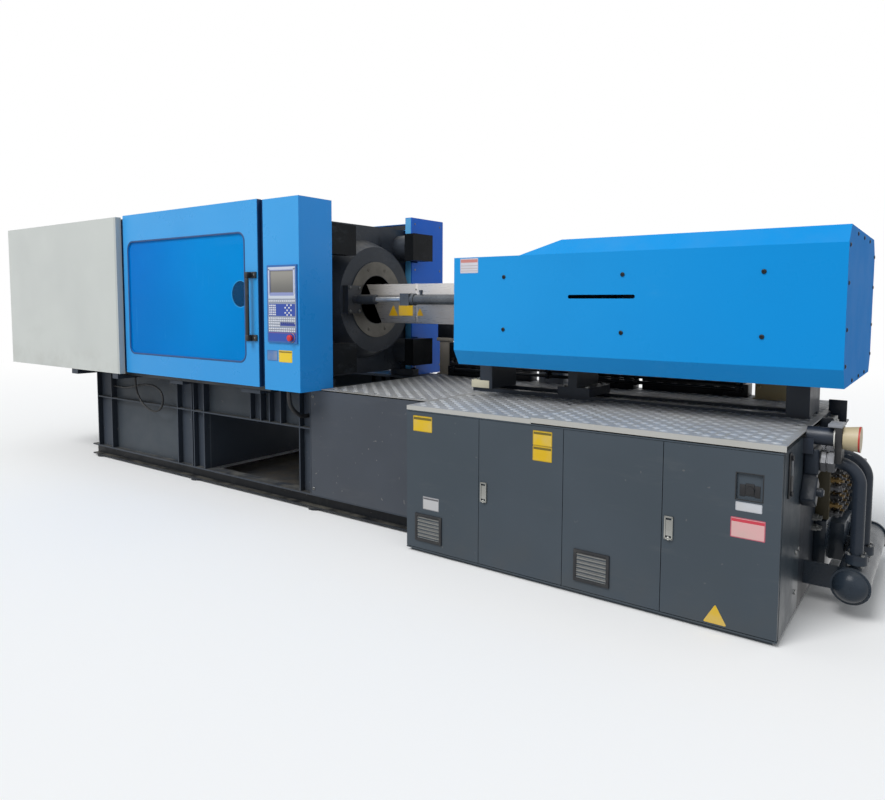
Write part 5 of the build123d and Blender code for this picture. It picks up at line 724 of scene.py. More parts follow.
# Painted light: the two ways of bars differ in colour only, a lit grey for one and a shaded grey for the
# other.
for ending, angle, finish, code, rubbed_code in (
    ("_a", 45, "tread_bars_rubbed", "b7b9bc", "cdcfd0"),
    ("_b", -45, "tread_bars_dull", "97999c", "a8aaac"),
):
    bars = Finish(finish, code)
    bars.lay(bars.noise(3.5, 5).step(0.35, 0.7), rubbed_code)
    # Painted shade: the bars are painted darker towards the rear and towards the platen end, like the sheet.
    bars.lay(bars.y.step(-0.35, 0.5) * 0.4, "7a7772")
    bars.lay(bars.x.fall(0.4, 1.5) * 0.4, "6d6a64")
    bar_steel = bars.close(bars.noise(30, 3).step(0.3, 0.7, 0.3, 0.5), Metallic=0.3)
    ways.append((ending, angle, bar_steel))
row = (4, (0.0, -1.5 * BAR_PITCH, 0.0), "Y", BAR_PITCH)
for name, x, y, top in FIELDS:
    columns, rows = [int((high - low) / GROUP_PITCH) for low, high in (x, y)]
    first_x = (x[0] + x[1] - (columns - 1) * GROUP_PITCH) / 2
    first_y = (y[0] + y[1] - (rows - 1) * GROUP_PITCH) / 2
    for ending, angle, bar_steel in ways:
        places = []
        for i in range(columns):
            for j in range(rows):
                if (i + j) % 2 == (angle > 0):
                    places.append((first_x + i * GROUP_PITCH, first_y + j * GROUP_PITCH, top))
        facing = (0, 0, math.radians(angle))
        grown(name + ending, bar, places, bar_steel, facing=facing, row=row)


# Clamp covers: folded sheets in light warm grey, with painted shade on the return flange where the
# door slides out from behind them. Rows of small screws hold the skins to the roof and the end wall.
paint = Finish("cover_enamel", "c9cdc9")
paint.lay(paint.noise(0.7, 3).step(0.35, 0.7), "c1c5c2")
paint.lay(paint.noise(1.6, 6, (0.6, 1, 2.4), 0.7).step(0.55, 0.85) * 0.22, "aeb1ad")
dusty = paint.noise(6, 5).step(0.35, 0.7)
paint.lay(paint.z.fall(0.81, 1.10) * dusty * 0.22, "97958c")
# Painted shade: the return flange past x = -1.6505, where the door slides out, is painted darker, as if
# side-lit.
paint.lay(paint.x.step(-1.652, -1.6505) * 0.35, "8e9699")
paint.lay(paint.normal(2).step(0.6, 0.95) * dusty * 0.3, "9c9a93")
rough = paint.noise(5, 4).step(0.3, 0.7, 0.36, 0.48)
cover_paint = paint.close(rough, Normal=paint.peel(1.5, 0.004, 0.35), Coat_Weight=0.12, Coat_Roughness=0.3)
dress(cover_paint, "clamp_cover_front", "clamp_cover_rear", "clamp_cover_roof")
places = grid((-3.5080,), (-0.86, -0.3, 0.3, 0.86), (0.86, 2.0))
screws("end_wall_screws", places, LEFT, 0.0075, 0.0035)
places = grid((-3.4, -2.9, -2.3, -1.75), (-0.78, 0.78), (2.0492,))
screws("roof_screws", places, UP, 0.0075, 0.0035)


# End-wall grille: a bank of pressed louvres in the end wall lets warm air out of the clamp housing.
END_WALL = -3.5079
arc = [(0.0, 0.0)]
for i in range(7):
    turned = math.radians(15 * i)
    arc.append((-0.010 * math.sin(turned), 0.016 * (1 - math.cos(turned))))
hood = []
for y, bulge in ((-0.110, 0.25), (-0.104, 1.0), (0.104, 1.0), (0.110, 0.25)):
    hood.append([(END_WALL + x * bulge, y, z) for x, z in arc])
hood = Form().loft(hood).mesh("louvre_hood")
row = (14, (0.0, 0.0, 1.20), "Z", 0.030)
grown("end_louvres", hood, [(0, 0, 0)], cover_paint, row=row)


# Sliding doors: folded skins in bright blue enamel round a film-covered clear pane. A navy
# rubber gasket is pressed over the window's edge. The front film has one round clear patch.
paint = Finish("door_enamel", "2f97dd")
# Painted light: the door's blue is painted lighter towards the top.
paint.lay(paint.z.step(0.83, 2.06), "3fa4e8")
paint.lay(paint.noise(0.8, 3).step(0.35, 0.7) * 0.6, "3398dc")
paint.lay(paint.noise(2.2, 6, (1, 1, 3), 0.7).step(0.58, 0.85) * 0.14, "8fb4cd")
# Painted shading: faces that look along X are painted another blue, for how the light falls on them.
paint.lay(abs(paint.normal(0)).step(0.7, 0.95) * 0.7, "1f95ee")
# Painted shade: faces behind the door's skin, left of the column, are painted darker.
paint.lay(abs(paint.y).fall(0.8385, 0.8395) * paint.x.fall(0.07, 0.08) * 0.5, "2a6a9c")
rough = paint.noise(5, 4).step(0.3, 0.7, 0.26, 0.38)
blue_enamel = paint.close(rough, Normal=paint.peel(1.7, 0.003, 0.3), Specular_IOR_Level=0.3)
dress(blue_enamel, "front_door", "rear_door", "operator_column")
trim = moulded("window_trim", "184a80")
WINDOW_LEFT, WINDOW_LOW, WINDOW_HIGH, WINDOW_CORNER, DOOR_FACE = -1.538, 0.985, 1.853, 0.060, 0.874
PATCH_X, PATCH_Z, PATCH_EDGE = -0.172, 1.444, 0.0865
BEAD = (
    (-0.0035, 0.0002),
    (-0.0045, 0.0016),
    (-0.0030, 0.0027),
    (0.0030, 0.0029),
    (0.0070, 0.0022),
    (0.0085, 0.0004),
)
for end, side, right, patched in (("front", -1, -0.113, 1.0), ("rear", 1, 0.050, 0.0)):
    film = Finish("window_film_" + end, "0078d2")
    # Painted light: the film is painted lighter towards +X and towards the top.
    film.lay(film.x.step(-1.54, -0.35), "0090e0")
    film.lay(film.z.fall(0.985, 1.85) * 0.55, "007ccc")
    film.lay(film.noise(3.0, 6, (1, 1, 1), 0.7).step(0.5, 0.8) * 0.2, "0f8cdc")
    film.lay(film.noise(7, 5, (3, 1, 0.4), 0.6).step(0.62, 0.68) * 0.1, "40a8e6")
    dx, dz = film.x - PATCH_X, film.z - PATCH_Z
    away = (dx * dx + dz * dz).math("SQRT")
    patch = away.fall(PATCH_EDGE, PATCH_EDGE + 0.002) * patched
    # Painted shade: the clear patch is painted dark, for the shaded inside seen through it.
    film.lay(patch * 0.8, "0e2f4c")
    film.lay(away.within(PATCH_EDGE, PATCH_EDGE + 0.007, 0.002) * 0.5 * patched, "5fb7e8")
    alpha = film.noise(2, 3).step(0.3, 0.7, 0.90, 0.96) - patch * 0.45
    rough = film.noise(4, 4).step(0.3, 0.7, 0.10, 0.22)
    sag = film.bump(film.noise(2.2, 3), 0.004, 0.5)
    dress(film.close(rough, Alpha=alpha, Normal=sag, Specular_IOR_Level=0.03), end + "_window")
    rings = []
    for grow, out in BEAD:
        x, z = (WINDOW_LEFT - grow, right + grow), (WINDOW_LOW - grow, WINDOW_HIGH + grow)
        loop = rounded_box(x, z, WINDOW_CORNER + grow, 8)
        rings.append([(x, side * (DOOR_FACE + out), z) for x, z in loop])
    gasket = Form().loft(rings, hollow=True)
    gasket.piece(end + "_window_gasket", trim, "deep_blue_paint", end + "_door_group", 50)


# Door edges: folded lips in a dark navy that is painted shade, each with a flange behind the gap
# beside the cover or beside the operator column, so that nobody looks or reaches through it.
# The navy is painted shade for the door's edges and the gaps beside them.
gap_shade_navy = enamel("navy_lip", "173a66", "12305a", 0.2, 0.15, 0.4)
lips = Form()
for left, right in ((-1.6045, -1.5965), (0.0185, 0.0260)):
    lips.block((left, -0.8700, 0.826), (right, -0.8385, 2.063), 0.0015)
lips.block((-1.6500, -0.8700, 0.830), (-1.6040, -0.8660, 2.025), 0.0010)
lips.block((0.0255, -0.8430, 0.830), (0.0520, -0.8390, 2.060), 0.0010)
lips.piece("door_edge_lips", gap_shade_navy, "deep_blue_paint", "front_door_group")
lips = Form()
for left, right in ((-1.6045, -1.5965), (0.1815, 0.1885)):
    lips.block((left, 0.8385, 0.826), (right, 0.8700, 2.063), 0.0015)
lips.block((-1.6500, 0.8660, 0.830), (-1.6040, 0.8700, 2.025), 0.0010)
lips.piece("rear_door_edge_lips", gap_shade_navy, "deep_blue_paint", "rear_door_group")


# Door handle: a black bar between two cast brackets, each held by two socket screws. Moulded
# end caps and a soft grip sleeve cover the steel.
handle_black = moulded("handle_black", "1d2024", 0.38)
dress(handle_black, "door_handle")
HANDLE_X, HANDLE_Y = -0.044, -0.910
sleeve = ((0.0, 0.0102), (0.003, 0.0120), (0.012, 0.0127), (0.361, 0.0127), (0.370, 0.0120), (0.373, 0.0102))
grip = Form().turn(sleeve, (HANDLE_X, HANDLE_Y, 1.173), "Z", 24)
for z in (1.131, 1.548):
    corners = (HANDLE_X - 0.0150, HANDLE_Y - 0.0126, z), (HANDLE_X + 0.0150, -0.8835, z + 0.040)
    grip.block(*corners, 0.006, 3)
    grip.block((HANDLE_X - 0.0580, -0.8865, z - 0.001), (HANDLE_X + 0.0580, -0.8742, z + 0.041), 0.004, 3)
grip.piece("handle_grip", handle_black, "cable_black", "front_door_group", 40)
places = grid((HANDLE_X - 0.042, HANDLE_X + 0.042), (-0.8865,), (1.151, 1.568))
screws("handle_screws", places, FRONT, 0.0065, 0.004, body="front_door_group")


# Operator column: one folded upright in the door's blue, with a navy joint on its left that is
# painted shade of the gap there, and bare plates below the panel.
joint = Form().block((0.0775, -0.8705, 0.818), (0.0850, -0.8300, 2.052), 0.0012)
joint.piece("column_joint", gap_shade_navy, "deep_blue_paint")
for name, x, z, code, border_code, bands in (
    ("blue_plate", (0.108, 0.209), (1.008, 1.076), "3f74b4", "2f5f9c", ()),
    ("yellow_plate_4", (0.221, 0.348), (1.003, 1.080), "ecc928", "d9b81f", ((1.0640, 1.0740, "8a7420"),)),
):
    stuck(name, -DOOR_FACE, x, z, code, border_code, 0.003, bands, "door_blue_paint")


# Control panel: a printed overlay with a bright frame round a grey screen, blocks of keys and
# a deep blue lower strip. Keys are real domes on the overlay, grown in rows.
PANEL_FACE = -0.884
film = Finish("panel_overlay", "2f6bb0")
film.lay(film.noise(8, 3).step(0.3, 0.7), "2a62a6")
for left, right, low, high, code in (
    (0.137, 0.394, 1.4050, 1.6150, "c9d0dc"),
    (0.150, 0.380, 1.4300, 1.5980, "8d97c6"),
    (0.134, 0.398, 1.2260, 1.4130, "8f97a8"),
    (0.140, 0.392, 1.3000, 1.3790, "2a4aa4"),
    (0.134, 0.398, 1.1980, 1.2260, "7d8496"),
    (0.251, 0.392, 1.2380, 1.2520, "2b3f96"),
    (0.134, 0.398, 1.1380, 1.1950, "2a4ea8"),
    (0.134, 0.398, 1.1900, 1.1960, "7a4e86"),
):
    film.lay(film.x.within(left, right, 0.0012) * film.z.within(low, high, 0.0012), code)
screen = film.x.within(0.154, 0.374, 0.0012) * film.z.within(1.451, 1.591, 0.0012)
film.lay(screen, film.mix(film.z.step(1.451, 1.591), "5d5c58", "8f8c84"))
rough = 0.42 - screen * 0.28
dress(film.close(rough, Coat_Weight=screen * 0.6, Coat_Roughness=0.06), "control_panel")
key = Form().block((-0.0068, -0.0021, -0.0052), (0.0068, 0.0003, 0.0052), 0.0014).mesh("key")
KEY_ROWS = (
    (0.148, 1.3970, 14, 1, 0.0181, 0.0),
    (0.152, 1.3680, 4, 5, 0.0172, 0.0145),
    (0.318, 1.3700, 2, 1, 0.036, 0.0),
    (0.300, 1.3540, 2, 1, 0.036, 0.0),
    (0.318, 1.3380, 2, 1, 0.036, 0.0),
    (0.300, 1.3220, 2, 1, 0.036, 0.0),
    (0.318, 1.3080, 2, 1, 0.036, 0.0),
    (0.148, 1.2860, 14, 2, 0.0181, 0.0150),
    (0.148, 1.2560, 6, 1, 0.0181, 0.0),
    (0.148, 1.2380, 6, 1, 0.0181, 0.0),
    (0.148, 1.2200, 14, 1, 0.0181, 0.0),
    (0.148, 1.2050, 14, 1, 0.0181, 0.0),
)
for name, code, blocks in (
    ("panel_keys", "d7dbe4", KEY_ROWS),
    ("panel_dark_keys", "24388c", ((0.262, 1.2560, 7, 1, 0.0181, 0.0),)),
):
    places = []
    for x, z, columns, rows, pitch_x, pitch_z in blocks:
        xs = [x + i * pitch_x for i in range(columns)]
        places += grid(xs, (PANEL_FACE,), [z - j * pitch_z for j in range(rows)])
    grown(name, key, places, moulded(name, code, 0.4))
rim = Form().block((0.1385, -0.8862, 1.5950), (0.3905, -0.8838, 1.6075), 0.0008)
for left, right in ((0.1385, 0.1505), (0.3785, 0.3905)):
    rim.block((left, -0.8862, 1.4410), (right, -0.8838, 1.6030), 0.0008)
rim.piece("screen_frame", moulded("screen_frame", "c3cbe0", 0.35), "panel_face")


# Emergency stop: a red mushroom head on a yellow collar.
STOP_X, STOP_Z = 0.355, 1.163
collar = ((0, 0.0122), (0, 0.0295), (-0.0008, 0.0310), (-0.0026, 0.0310), (-0.0035, 0.0295))
collar = Form().turn(collar + ((-0.0035, 0.0122),), (STOP_X, -0.8835, STOP_Z), "Y", 36)
collar.piece("stop_collar", moulded("stop_collar_yellow", "e0a51e", 0.35), "panel_face")
red = moulded("stop_red", "d0202a", 0.25)
dress(red, "estop_button")
head = ((0, 0), (0, 0.0195), (-0.004, 0.0205), (-0.010, 0.0200), (-0.0145, 0.0165), (-0.0162, 0.0090))
head = Form().turn(head + ((-0.0165, 0),), (STOP_X, -0.8932, STOP_Z), "Y", 36)
head.piece("stop_head", red, "stop_red", "estop_body", 50)


# Door rails and rear column: rails in oiled dark bar, the column in deeper blue with a painted highlight on
# its front edge.
rail_steel = metal("rail_steel", "3d4145", "26292d", 0.4, (0.05, 6, 6), 0.5, 0.5)
dress(rail_steel, "door_rails")
dress(enamel("deep_blue_enamel", "0f68d8", "0f58bd", 0.3, 0.25, 0.34), "rear_column")
# Painted light: a thin light-blue strip on the column's front face, where the light falls.
lit_edge_blue = enamel("edge_blue_enamel", "56a5d8", "3f86bb", 0.3, 0.25, 0.34)
edge = Form().block((0.1915, 0.4585, 0.812), (0.2470, 0.4600, 2.054), 0.0006)
edge.piece("rear_column_edge", lit_edge_blue, "azure_paint")
screws("rear_column_screws", grid((0.2550,), (0.50, 0.83), (0.87, 1.25, 1.65, 2.01)), RIGHT, 0.0075, 0.004)


# Platens: dark machinery enamel over cast iron. The casting keeps a fine orange-peel grain, and its
# machined faces are bare and oiled.
def casting(name, code, shade_code, bare_x=None, gloss=0.2):
    """Enamelled casting; bare_x is the place of a machined face across the machine's length."""
    paint = Finish(name, code)
    paint.lay(paint.noise(1.6, 4).step(0.3, 0.7), shade_code)
    paint.lay(paint.noise(3.5, 6, (1, 1, 2.5), 0.75).step(0.52, 0.78) * 0.35, "5d636a")
    paint.lay(paint.normal(2).step(0.5, 0.95) * paint.noise(9, 5).step(0.35, 0.7) * 0.5, "6f6c66")
    oil = paint.noise(5, 5, (1, 1, 0.35), 0.7).step(0.6, 0.75)
    paint.lay(oil * 0.4, "1c1c1d")
    rough = paint.noise(6, 5).step(0.3, 0.7, 0.26, 0.44) - oil * 0.08
    shine = 0.0
    if bare_x is not None:
        bare = abs(paint.x - bare_x).fall(0.0006, 0.0012) * abs(paint.normal(0)).step(0.9, 0.98)
        paint.lay(bare, "8d8f90")
        shine = bare * 0.9
    grain = paint.bump(paint.noise(90, 4), 0.0016, 0.55)
    cast = paint.bump(paint.noise(7, 4), 0.004, 0.35, grain)
    return paint.close(rough, Metallic=shine, Normal=cast, Specular_IOR_Level=gloss)


dress(casting("fixed_platen_casting", "3c4149", "2f343b", 0.059), "fixed_platen")
dress(casting("moving_platen_casting", "3b4047", "30353b", -1.1064), "moving_platen")
dark_casting = casting("machine_casting", "3b4047", "30353b")
dress(dark_casting, "tail_platen", "clamp_cylinder", "crosshead", "ejector_cylinder")
dress(dark_casting, "injection_ram", "tail_nuts")
cap_paint = casting("cap_casting", "1d2023", "141619", gloss=0.08)
dress(cap_paint, "tie_bar_caps")
link_paint = casting("link_casting", "4a545c", "3c454c")
dress(link_paint, "rear_link_upper", "rear_link_lower", "front_link_upper", "front_link_lower")
dress(link_paint, "crosshead_link_upper", "crosshead_link_lower")


# Steel and chrome: ground pins and rods, and hard-chromed tie bars. The face ring round the
# nozzle's well has a disc as its back, which closes the well; the disc renders black and stands in
# for the shade inside the well.
steel = metal("ground_steel", "a3a6a8", "6a6d70", 0.24, (2, 60, 60), 0.3)
dress(steel, "platen_pins", "tail_pins", "upper_link_pins", "lower_link_pins")
dress(steel, "crosshead_guides", "ejector_plate", "screw")
dress(metal("hard_chrome", "c9ccce", "8e9296", 0.10, grime=0.15), "tie_bars")
AXIS_Z = 1.410
TIE_Y, TIE_Z = 0.439, 0.405
INNER, OUTER, RING_FACE, RING_BACK = 0.1775, 0.2765, 0.2956, 0.2930
EDGE = RING_FACE - 0.0006
inside = ((RING_BACK, INNER), (EDGE, INNER), (RING_FACE, INNER + 0.0010), (RING_FACE, OUTER - 0.0010))
ring = Form().turn(inside + ((EDGE, OUTER), (RING_BACK, OUTER)), (0, 0, AXIS_Z), "X", 96)
ring.turn(inside, (0, 0, AXIS_Z), "X", 96, hollow=True)
ring_steel = metal("ring_steel", "6d6a64", "4a4843", 0.42, (30, 8, 8), 0.6, 0.6)
ring.piece("nozzle_ring_face", ring_steel, "machined_steel")
angles = [math.radians(22.5 + 45 * i) for i in range(8)]
places = [(RING_FACE, 0.232 * math.cos(angle), AXIS_Z + 0.232 * math.sin(angle)) for angle in angles]
screws("nozzle_ring_screws", places, RIGHT, 0.0125, 0.003, ring_steel)
bosses = Form()
for _, y, z in grid((0,), (-TIE_Y, TIE_Y), (AXIS_Z - TIE_Z, AXIS_Z + TIE_Z)):
    bosses.block((0.3846, y - 0.060, z - 0.050), (0.3849, y + 0.060, z + 0.050), 0.0001)
bosses.piece("cap_bosses", cap_paint, "charcoal_casting")
zs = [AXIS_Z + side * TIE_Z + dz for side in (-1, 1) for dz in (-0.080, 0.080)]
places = grid((0.3770,), [side * TIE_Y + dy for side in (-1, 1) for dy in (-0.112, 0.112)], zs)
screws("cap_screws", places, LEFT, 0.006, 0.004)


# Carriage rods and cylinders: cast clevises on the platen, chromed rods, and grey cylinders with
# square glands held by four socket screws.
part = Finish("carriage_rod", "34383e")
part.lay(part.noise(5, 4).step(0.3, 0.7), "2a2d32")
plated = part.x.step(0.3848, 0.3853)
part.lay(plated, part.mix(part.noise(4, 4).step(0.3, 0.7), "e2e4e5", "b5b8ba"))
rough = part.noise(6, 5).step(0.3, 0.7, 0.34, 0.48) * (1.0 - plated) + plated * 0.24
grain = part.bump(part.noise(90, 4), 0.0014, 0.4)
dress(part.close(rough, Metallic=plated * 0.7, Normal=grain), "carriage_rods")
cylinder_grey = metal("cylinder_steel", "666a6e", "4e5257", 0.3, (4, 20, 20), 0.35, 0.55)
dress(cylinder_grey, "carriage_cylinders")
ROD_Y, GLAND_X = 0.285, 0.7810
SLEEVE = ((0.3846, 0.0), (0.3846, 0.0335), (0.5380, 0.0335), (0.5460, 0.0275), (0.5460, 0.0))
WIPER = (
    (-0.0035, 0.0195),
    (-0.0060, 0.0215),
    (-0.0060, 0.0270),
    (-0.0030, 0.0290),
    (0.0, 0.0290),
    (0.0, 0.0195),
)
COLLAR = ((0.0, 0.0325), (0.0, 0.0385), (0.002, 0.0400), (0.026, 0.0400), (0.028, 0.0385), (0.028, 0.0325))
PORT = ((0, 0), (0, 0.0110), (0.016, 0.0110), (0.016, 0.0140), (0.030, 0.0140), (0.032, 0.0120), (0.032, 0))
sleeves, wipers, collars = Form(), Form(), Form()
for y in (-ROD_Y, ROD_Y):
    sleeves.turn(SLEEVE, (0.0, y, AXIS_Z), "X", 36)
    wipers.turn(WIPER, (GLAND_X, y, AXIS_Z), "X", 32, hollow=True)
    for x in (0.8570, 1.7400):
        collars.turn(COLLAR, (x, y, AXIS_Z), "X", 36, hollow=True)
    collars.turn(PORT, (0.930, y, AXIS_Z + 0.0300), "Z", 6)
sleeves.piece("rod_sleeves", casting("rod_sleeve_casting", "3a3e45", "2c3036"), "charcoal_casting")
places = grid((GLAND_X,), (-0.315, -0.255, 0.255, 0.315), (AXIS_Z - 0.030, AXIS_Z + 0.030))
screws("gland_screws", places, LEFT, 0.0055, 0.005, body="carriage")
places = grid((0.3400,), (-0.333, -0.237, 0.237, 0.333), (AXIS_Z - 0.080, AXIS_Z + 0.080))
screws("clevis_screws", places, RIGHT, 0.0105, 0.008)
wipers.piece("rod_wipers", rubber, "cable_black", "carriage")
collars.piece("cylinder_collars", cylinder_grey, "charcoal_casting", "carriage")


# Barrel: oxide-dark steel with stainless terminal boxes on its heater bands.
dress(metal("barrel_steel", "5d5a57", "3b3937", 0.4, (40, 6, 6), 0.6, 0.8), "barrel")
boxes = Form()
for i in range(5):
    x = 0.560 + i * 0.200
    boxes.block((x - 0.045, -0.0120, AXIS_Z + 0.0880), (x + 0.045, 0.0120, AXIS_Z + 0.1020), 0.0020)
    boxes.block((x - 0.022, -0.0230, AXIS_Z + 0.1000), (x + 0.022, 0.0230, AXIS_Z + 0.1060), 0.0020)
band_steel = metal("band_steel", "b4b3ae", "84827c", 0.3, (4, 30, 30), 0.3)
boxes.piece("heater_terminals", band_steel, "stainless_sheet", "carriage")


# Barrel shield: thin stainless sheet, brushed along its length and straw-tinted by heat, with
# lapped seams, round-head screws and three bare yellow plates on its lower half.
sheet = Finish("shield_stainless", "b5b2af")
sheet.lay(sheet.noise(2.2, 4).step(0.3, 0.7), "9f9c9a")
# Painted sheen: the upper half, above the barrel's axis, is painted near-white, less metallic and with fewer
# smears.
sheen_top = sheet.z.step(1.43, 1.45)
sheet.lay(sheen_top, "f0e9e2")
sheet.lay(sheet.x.fall(0.32, 0.62) * sheet.noise(4, 4).step(0.3, 0.7, 0.4, 1.0) * 0.5, "8a7f6c")
smears = sheet.noise(5, 6, (1, 1, 2), 0.7).step(0.55, 0.8)
sheet.lay(smears * (1.0 - sheen_top * 0.6) * 0.35, "77726a")
lines = sheet.noise(16, 3, (0.6, 14, 14), 0.6)
rough = lines.step(0.3, 0.7, 0.26, 0.40) + smears * 0.12
fine = sheet.bump(lines, 0.0002, 0.3, sheet.bump(sheet.noise(2.6, 3), 0.004, 0.4))
shield_steel = sheet.close(rough, Metallic=0.65 - sheen_top * 0.35 - smears * 0.25, Normal=fine)
dress(shield_steel, "barrel_shield")
laps = Form()
for x in (0.760, 1.090):
    laps.block((x, -0.1340, 1.5176), (x + 0.022, 0.1340, 1.5190), 0.0004)
    for near, far in ((-0.1364, -0.1348), (0.1348, 0.1364)):
        laps.block((x, near, 1.2490), (x + 0.022, far, 1.5160), 0.0004)
for near, far in ((-0.1368, -0.1348), (0.1348, 0.1368)):
    laps.block((0.470, near, 1.2475), (1.468, far, 1.2580), 0.0005)
laps.piece("shield_laps", shield_steel, "stainless_sheet", "carriage")
for name, y, facing in (("shield_screws", -0.1364, FRONT), ("shield_rear_screws", 0.1364, REAR)):
    screws(name, grid((0.771, 1.101), (y,), (1.290, 1.480)), facing, 0.006, 0.0035, body="carriage")
SHIELD_FACE = -0.135
plates = Form()
for x, z, reach in ((0.5675, 1.3220, 0.050), (0.8035, 1.3175, 0.035)):
    angles = [math.radians(angle) for angle in (210, 330, 90)]
    corners = [(x + reach * math.cos(angle), z + reach * math.sin(angle)) for angle in angles]
    plates.plate(rounded_triangle(corners), SHIELD_FACE)
x, z = (0.616, 0.742), (1.2990, 1.3710)
plates.plate(rounded_box(x, z), SHIELD_FACE)
shield_yellow = print_of("shield_plate_print", x, z, "e3b512", "c79b0d", 0.002)
plates.piece("shield_plates", shield_yellow, "stainless_sheet", "carriage")


# Injection cover: folded sheet in bright blue enamel, dusty where it faces up, with painted shade:
# a duller blue on the folds below, a deeper blue on the end wall and on the faces that look up.
# Round-head screws fasten it to the frame inside, and a bare white plate sits near the mouth.
paint = Finish("injection_cover_enamel", "2799e0")
paint.lay(paint.x.step(1.4, 3.4), "0f8fda")
paint.lay(paint.noise(0.9, 3).step(0.35, 0.7) * 0.35, "1a86cd")
paint.lay(paint.noise(2.0, 6, (1, 1, 2.5), 0.7).step(0.58, 0.85) * 0.14, "6fb2dc")
# Painted shade: faces that look down are painted a duller blue.
paint.lay(paint.normal(2).fall(-0.9, -0.3) * 0.6, "3f93dc")
# Painted shade: the end wall, facing +X, is painted a deeper blue and made rougher.
end = paint.normal(0).step(0.8, 0.95)
paint.lay(end * 0.85, "2f7ecb")
up = paint.normal(2).step(0.3, 0.9)
dirt = up * paint.noise(5, 5).step(0.4, 0.75)
paint.lay(dirt * 0.12, "8b9499")
# Painted shade: faces that look up are painted a deeper blue.
paint.lay(up * 0.5, "0f90dc")
rough = paint.noise(5, 4).step(0.3, 0.7, 0.26, 0.38) + dirt * 0.15 + end * 0.4
cover_blue = paint.close(rough, Normal=paint.peel(1.3, 0.004, 0.3), Specular_IOR_Level=0.08)
dress(cover_blue, "injection_cover")
dark_screw = metal("dark_screws", "2f3236", "202226", 0.4, grime=0.4, metallic=0.7)
COVER_FACE = 0.541
spots = ((1.713, 1.534), (1.711, 1.242), (2.403, 1.534), (2.401, 1.243), (3.060, 1.534), (3.060, 1.243))
for name, y, facing in (("cover_side_screws", -COVER_FACE, FRONT), ("cover_rear_screws", COVER_FACE, REAR)):
    screws(name, [(x, y, z) for x, z in spots], facing, 0.011, 0.006, dark_screw, "carriage")
places = grid((3.3860,), (-0.505, 0.505), (1.125, 1.281, 1.480, 1.640))
places += grid((3.3860,), (-0.25, 0.0, 0.25), (1.045, 1.705))
screws("cover_end_screws", places, RIGHT, 0.009, 0.005, dark_screw, "carriage")
bands = [(1.6200, 1.6390, "c9837e")] + [(low, low + 0.005, "b9aeb2") for low in (1.6000, 1.5850, 1.5700)]
place = (-COVER_FACE, (1.418, 1.541), (1.560, 1.6445))
stuck("cover_white_plate", *place, "d5d3dc", "c3c0cb", 0.003, bands, "azure_paint", "carriage")


# Mouth trim and hopper rim: an edge bead round the barrel's mouth, and a gasket round the hole
# in the low roof where a hopper's neck passes.
mouth = Form()
for left, right, low, high in (
    (-0.344, -0.336, 1.225, 1.540),
    (0.336, 0.344, 1.225, 1.540),
    (-0.344, 0.344, 1.536, 1.544),
    (-0.344, -0.170, 1.221, 1.229),
    (0.170, 0.344, 1.221, 1.229),
):
    mouth.block((1.3700, left, low), (1.3790, right, high), 0.002)
mouth.piece("mouth_trim", rubber, "cable_black", "carriage")
rim = ((-0.0040, 0.1190), (0.0040, 0.1190), (0.0070, 0.1215), (0.0070, 0.1310))
rim = Form().turn(rim + ((0.0, 0.1320), (0.0, 0.1205), (-0.0040, 0.1205)), (1.600, 0, 1.650), "Z", 64, True)
rim.piece("hopper_gasket", rubber, "cable_black", "carriage")


# Posts under the injection unit: the foot of the front post is cream, the rest dark, and each
# foot has its bolts.
skin = Form().block((1.2410, -0.1515, 0.8475), (1.3750, -0.1495, 0.8955), 0.0006)
skin.block((1.2410, -0.1500, 0.8475), (1.2432, 0.1500, 0.8955), 0.0006)
skin.block((1.2410, -0.1500, 0.8955), (1.3050, 0.1500, 0.8967), 0.0005)
cream = enamel("cream_enamel", "d6d0b8", "b9b299", 0.6, 0.35, 0.45, "7d786a")
skin.piece("front_foot_skin", cream, "white_cover_paint")
places = grid((1.880, 2.030), (-0.115, 0.115), (0.8960,)) + grid((1.275,), (-0.115, 0.115), (0.8965,))
screws("post_bolts", places, UP, 0.014, 0.010)


# Tread plates' screws: countersunk heads in a row along the middle of each sheet and one along
# its rear edge, into the frame below.
places = grid((0.500, 0.860, 1.230), (-0.655, 0.670), (TREAD_TOP,))
places += grid((1.385, 1.700, 2.029), (-0.345, 0.670), (TREAD_TOP,))
places += grid((2.180, 2.545, 2.870, 3.190), (-0.345, 0.670), (STEP_TOP,))
screws("tread_screws", places, UP, 0.010, 0.0024, dark_screw)


# Rear service row: hydraulic manifolds stand on the tread behind the injection unit, black castings
# with a rank of solenoid valves on each, fed by two steel pressure pipes held in clamps.
# The manifolds, pipes and boxes are near-black: partly the castings' own black, partly painted shade under
# the injection cover.
service_black_and_shade = casting("service_casting", "1c1f24", "14171b")
coil_black = moulded("coil_black", "17181b", 0.4)
ROW_FRONT, ROW_BACK, MANIFOLD_HEIGHT, VALVE_PITCH = 0.530, 0.640, 0.078, 0.090
manifolds = Form()
places = []
for left, right, base in ((0.560, 1.290, TREAD_TOP), (1.600, 2.060, TREAD_TOP), (2.120, 2.770, STEP_TOP)):
    top = base + MANIFOLD_HEIGHT
    manifolds.block((left, ROW_FRONT, base), (right, ROW_BACK, top), 0.004)
    count = int((right - left) / VALVE_PITCH)
    first_x = (left + right - (count - 1) * VALVE_PITCH) / 2
    places += [(first_x + i * VALVE_PITCH, (ROW_FRONT + ROW_BACK) / 2, top) for i in range(count)]
manifolds.piece("service_manifolds", service_black_and_shade, "charcoal_casting")
coil = ((-0.078, 0.0), (-0.078, 0.010), (-0.068, 0.018), (-0.034, 0.018), (-0.032, 0.0))
valve = Form().block((-0.026, -0.034, -0.002), (0.026, 0.034, 0.046), 0.003)
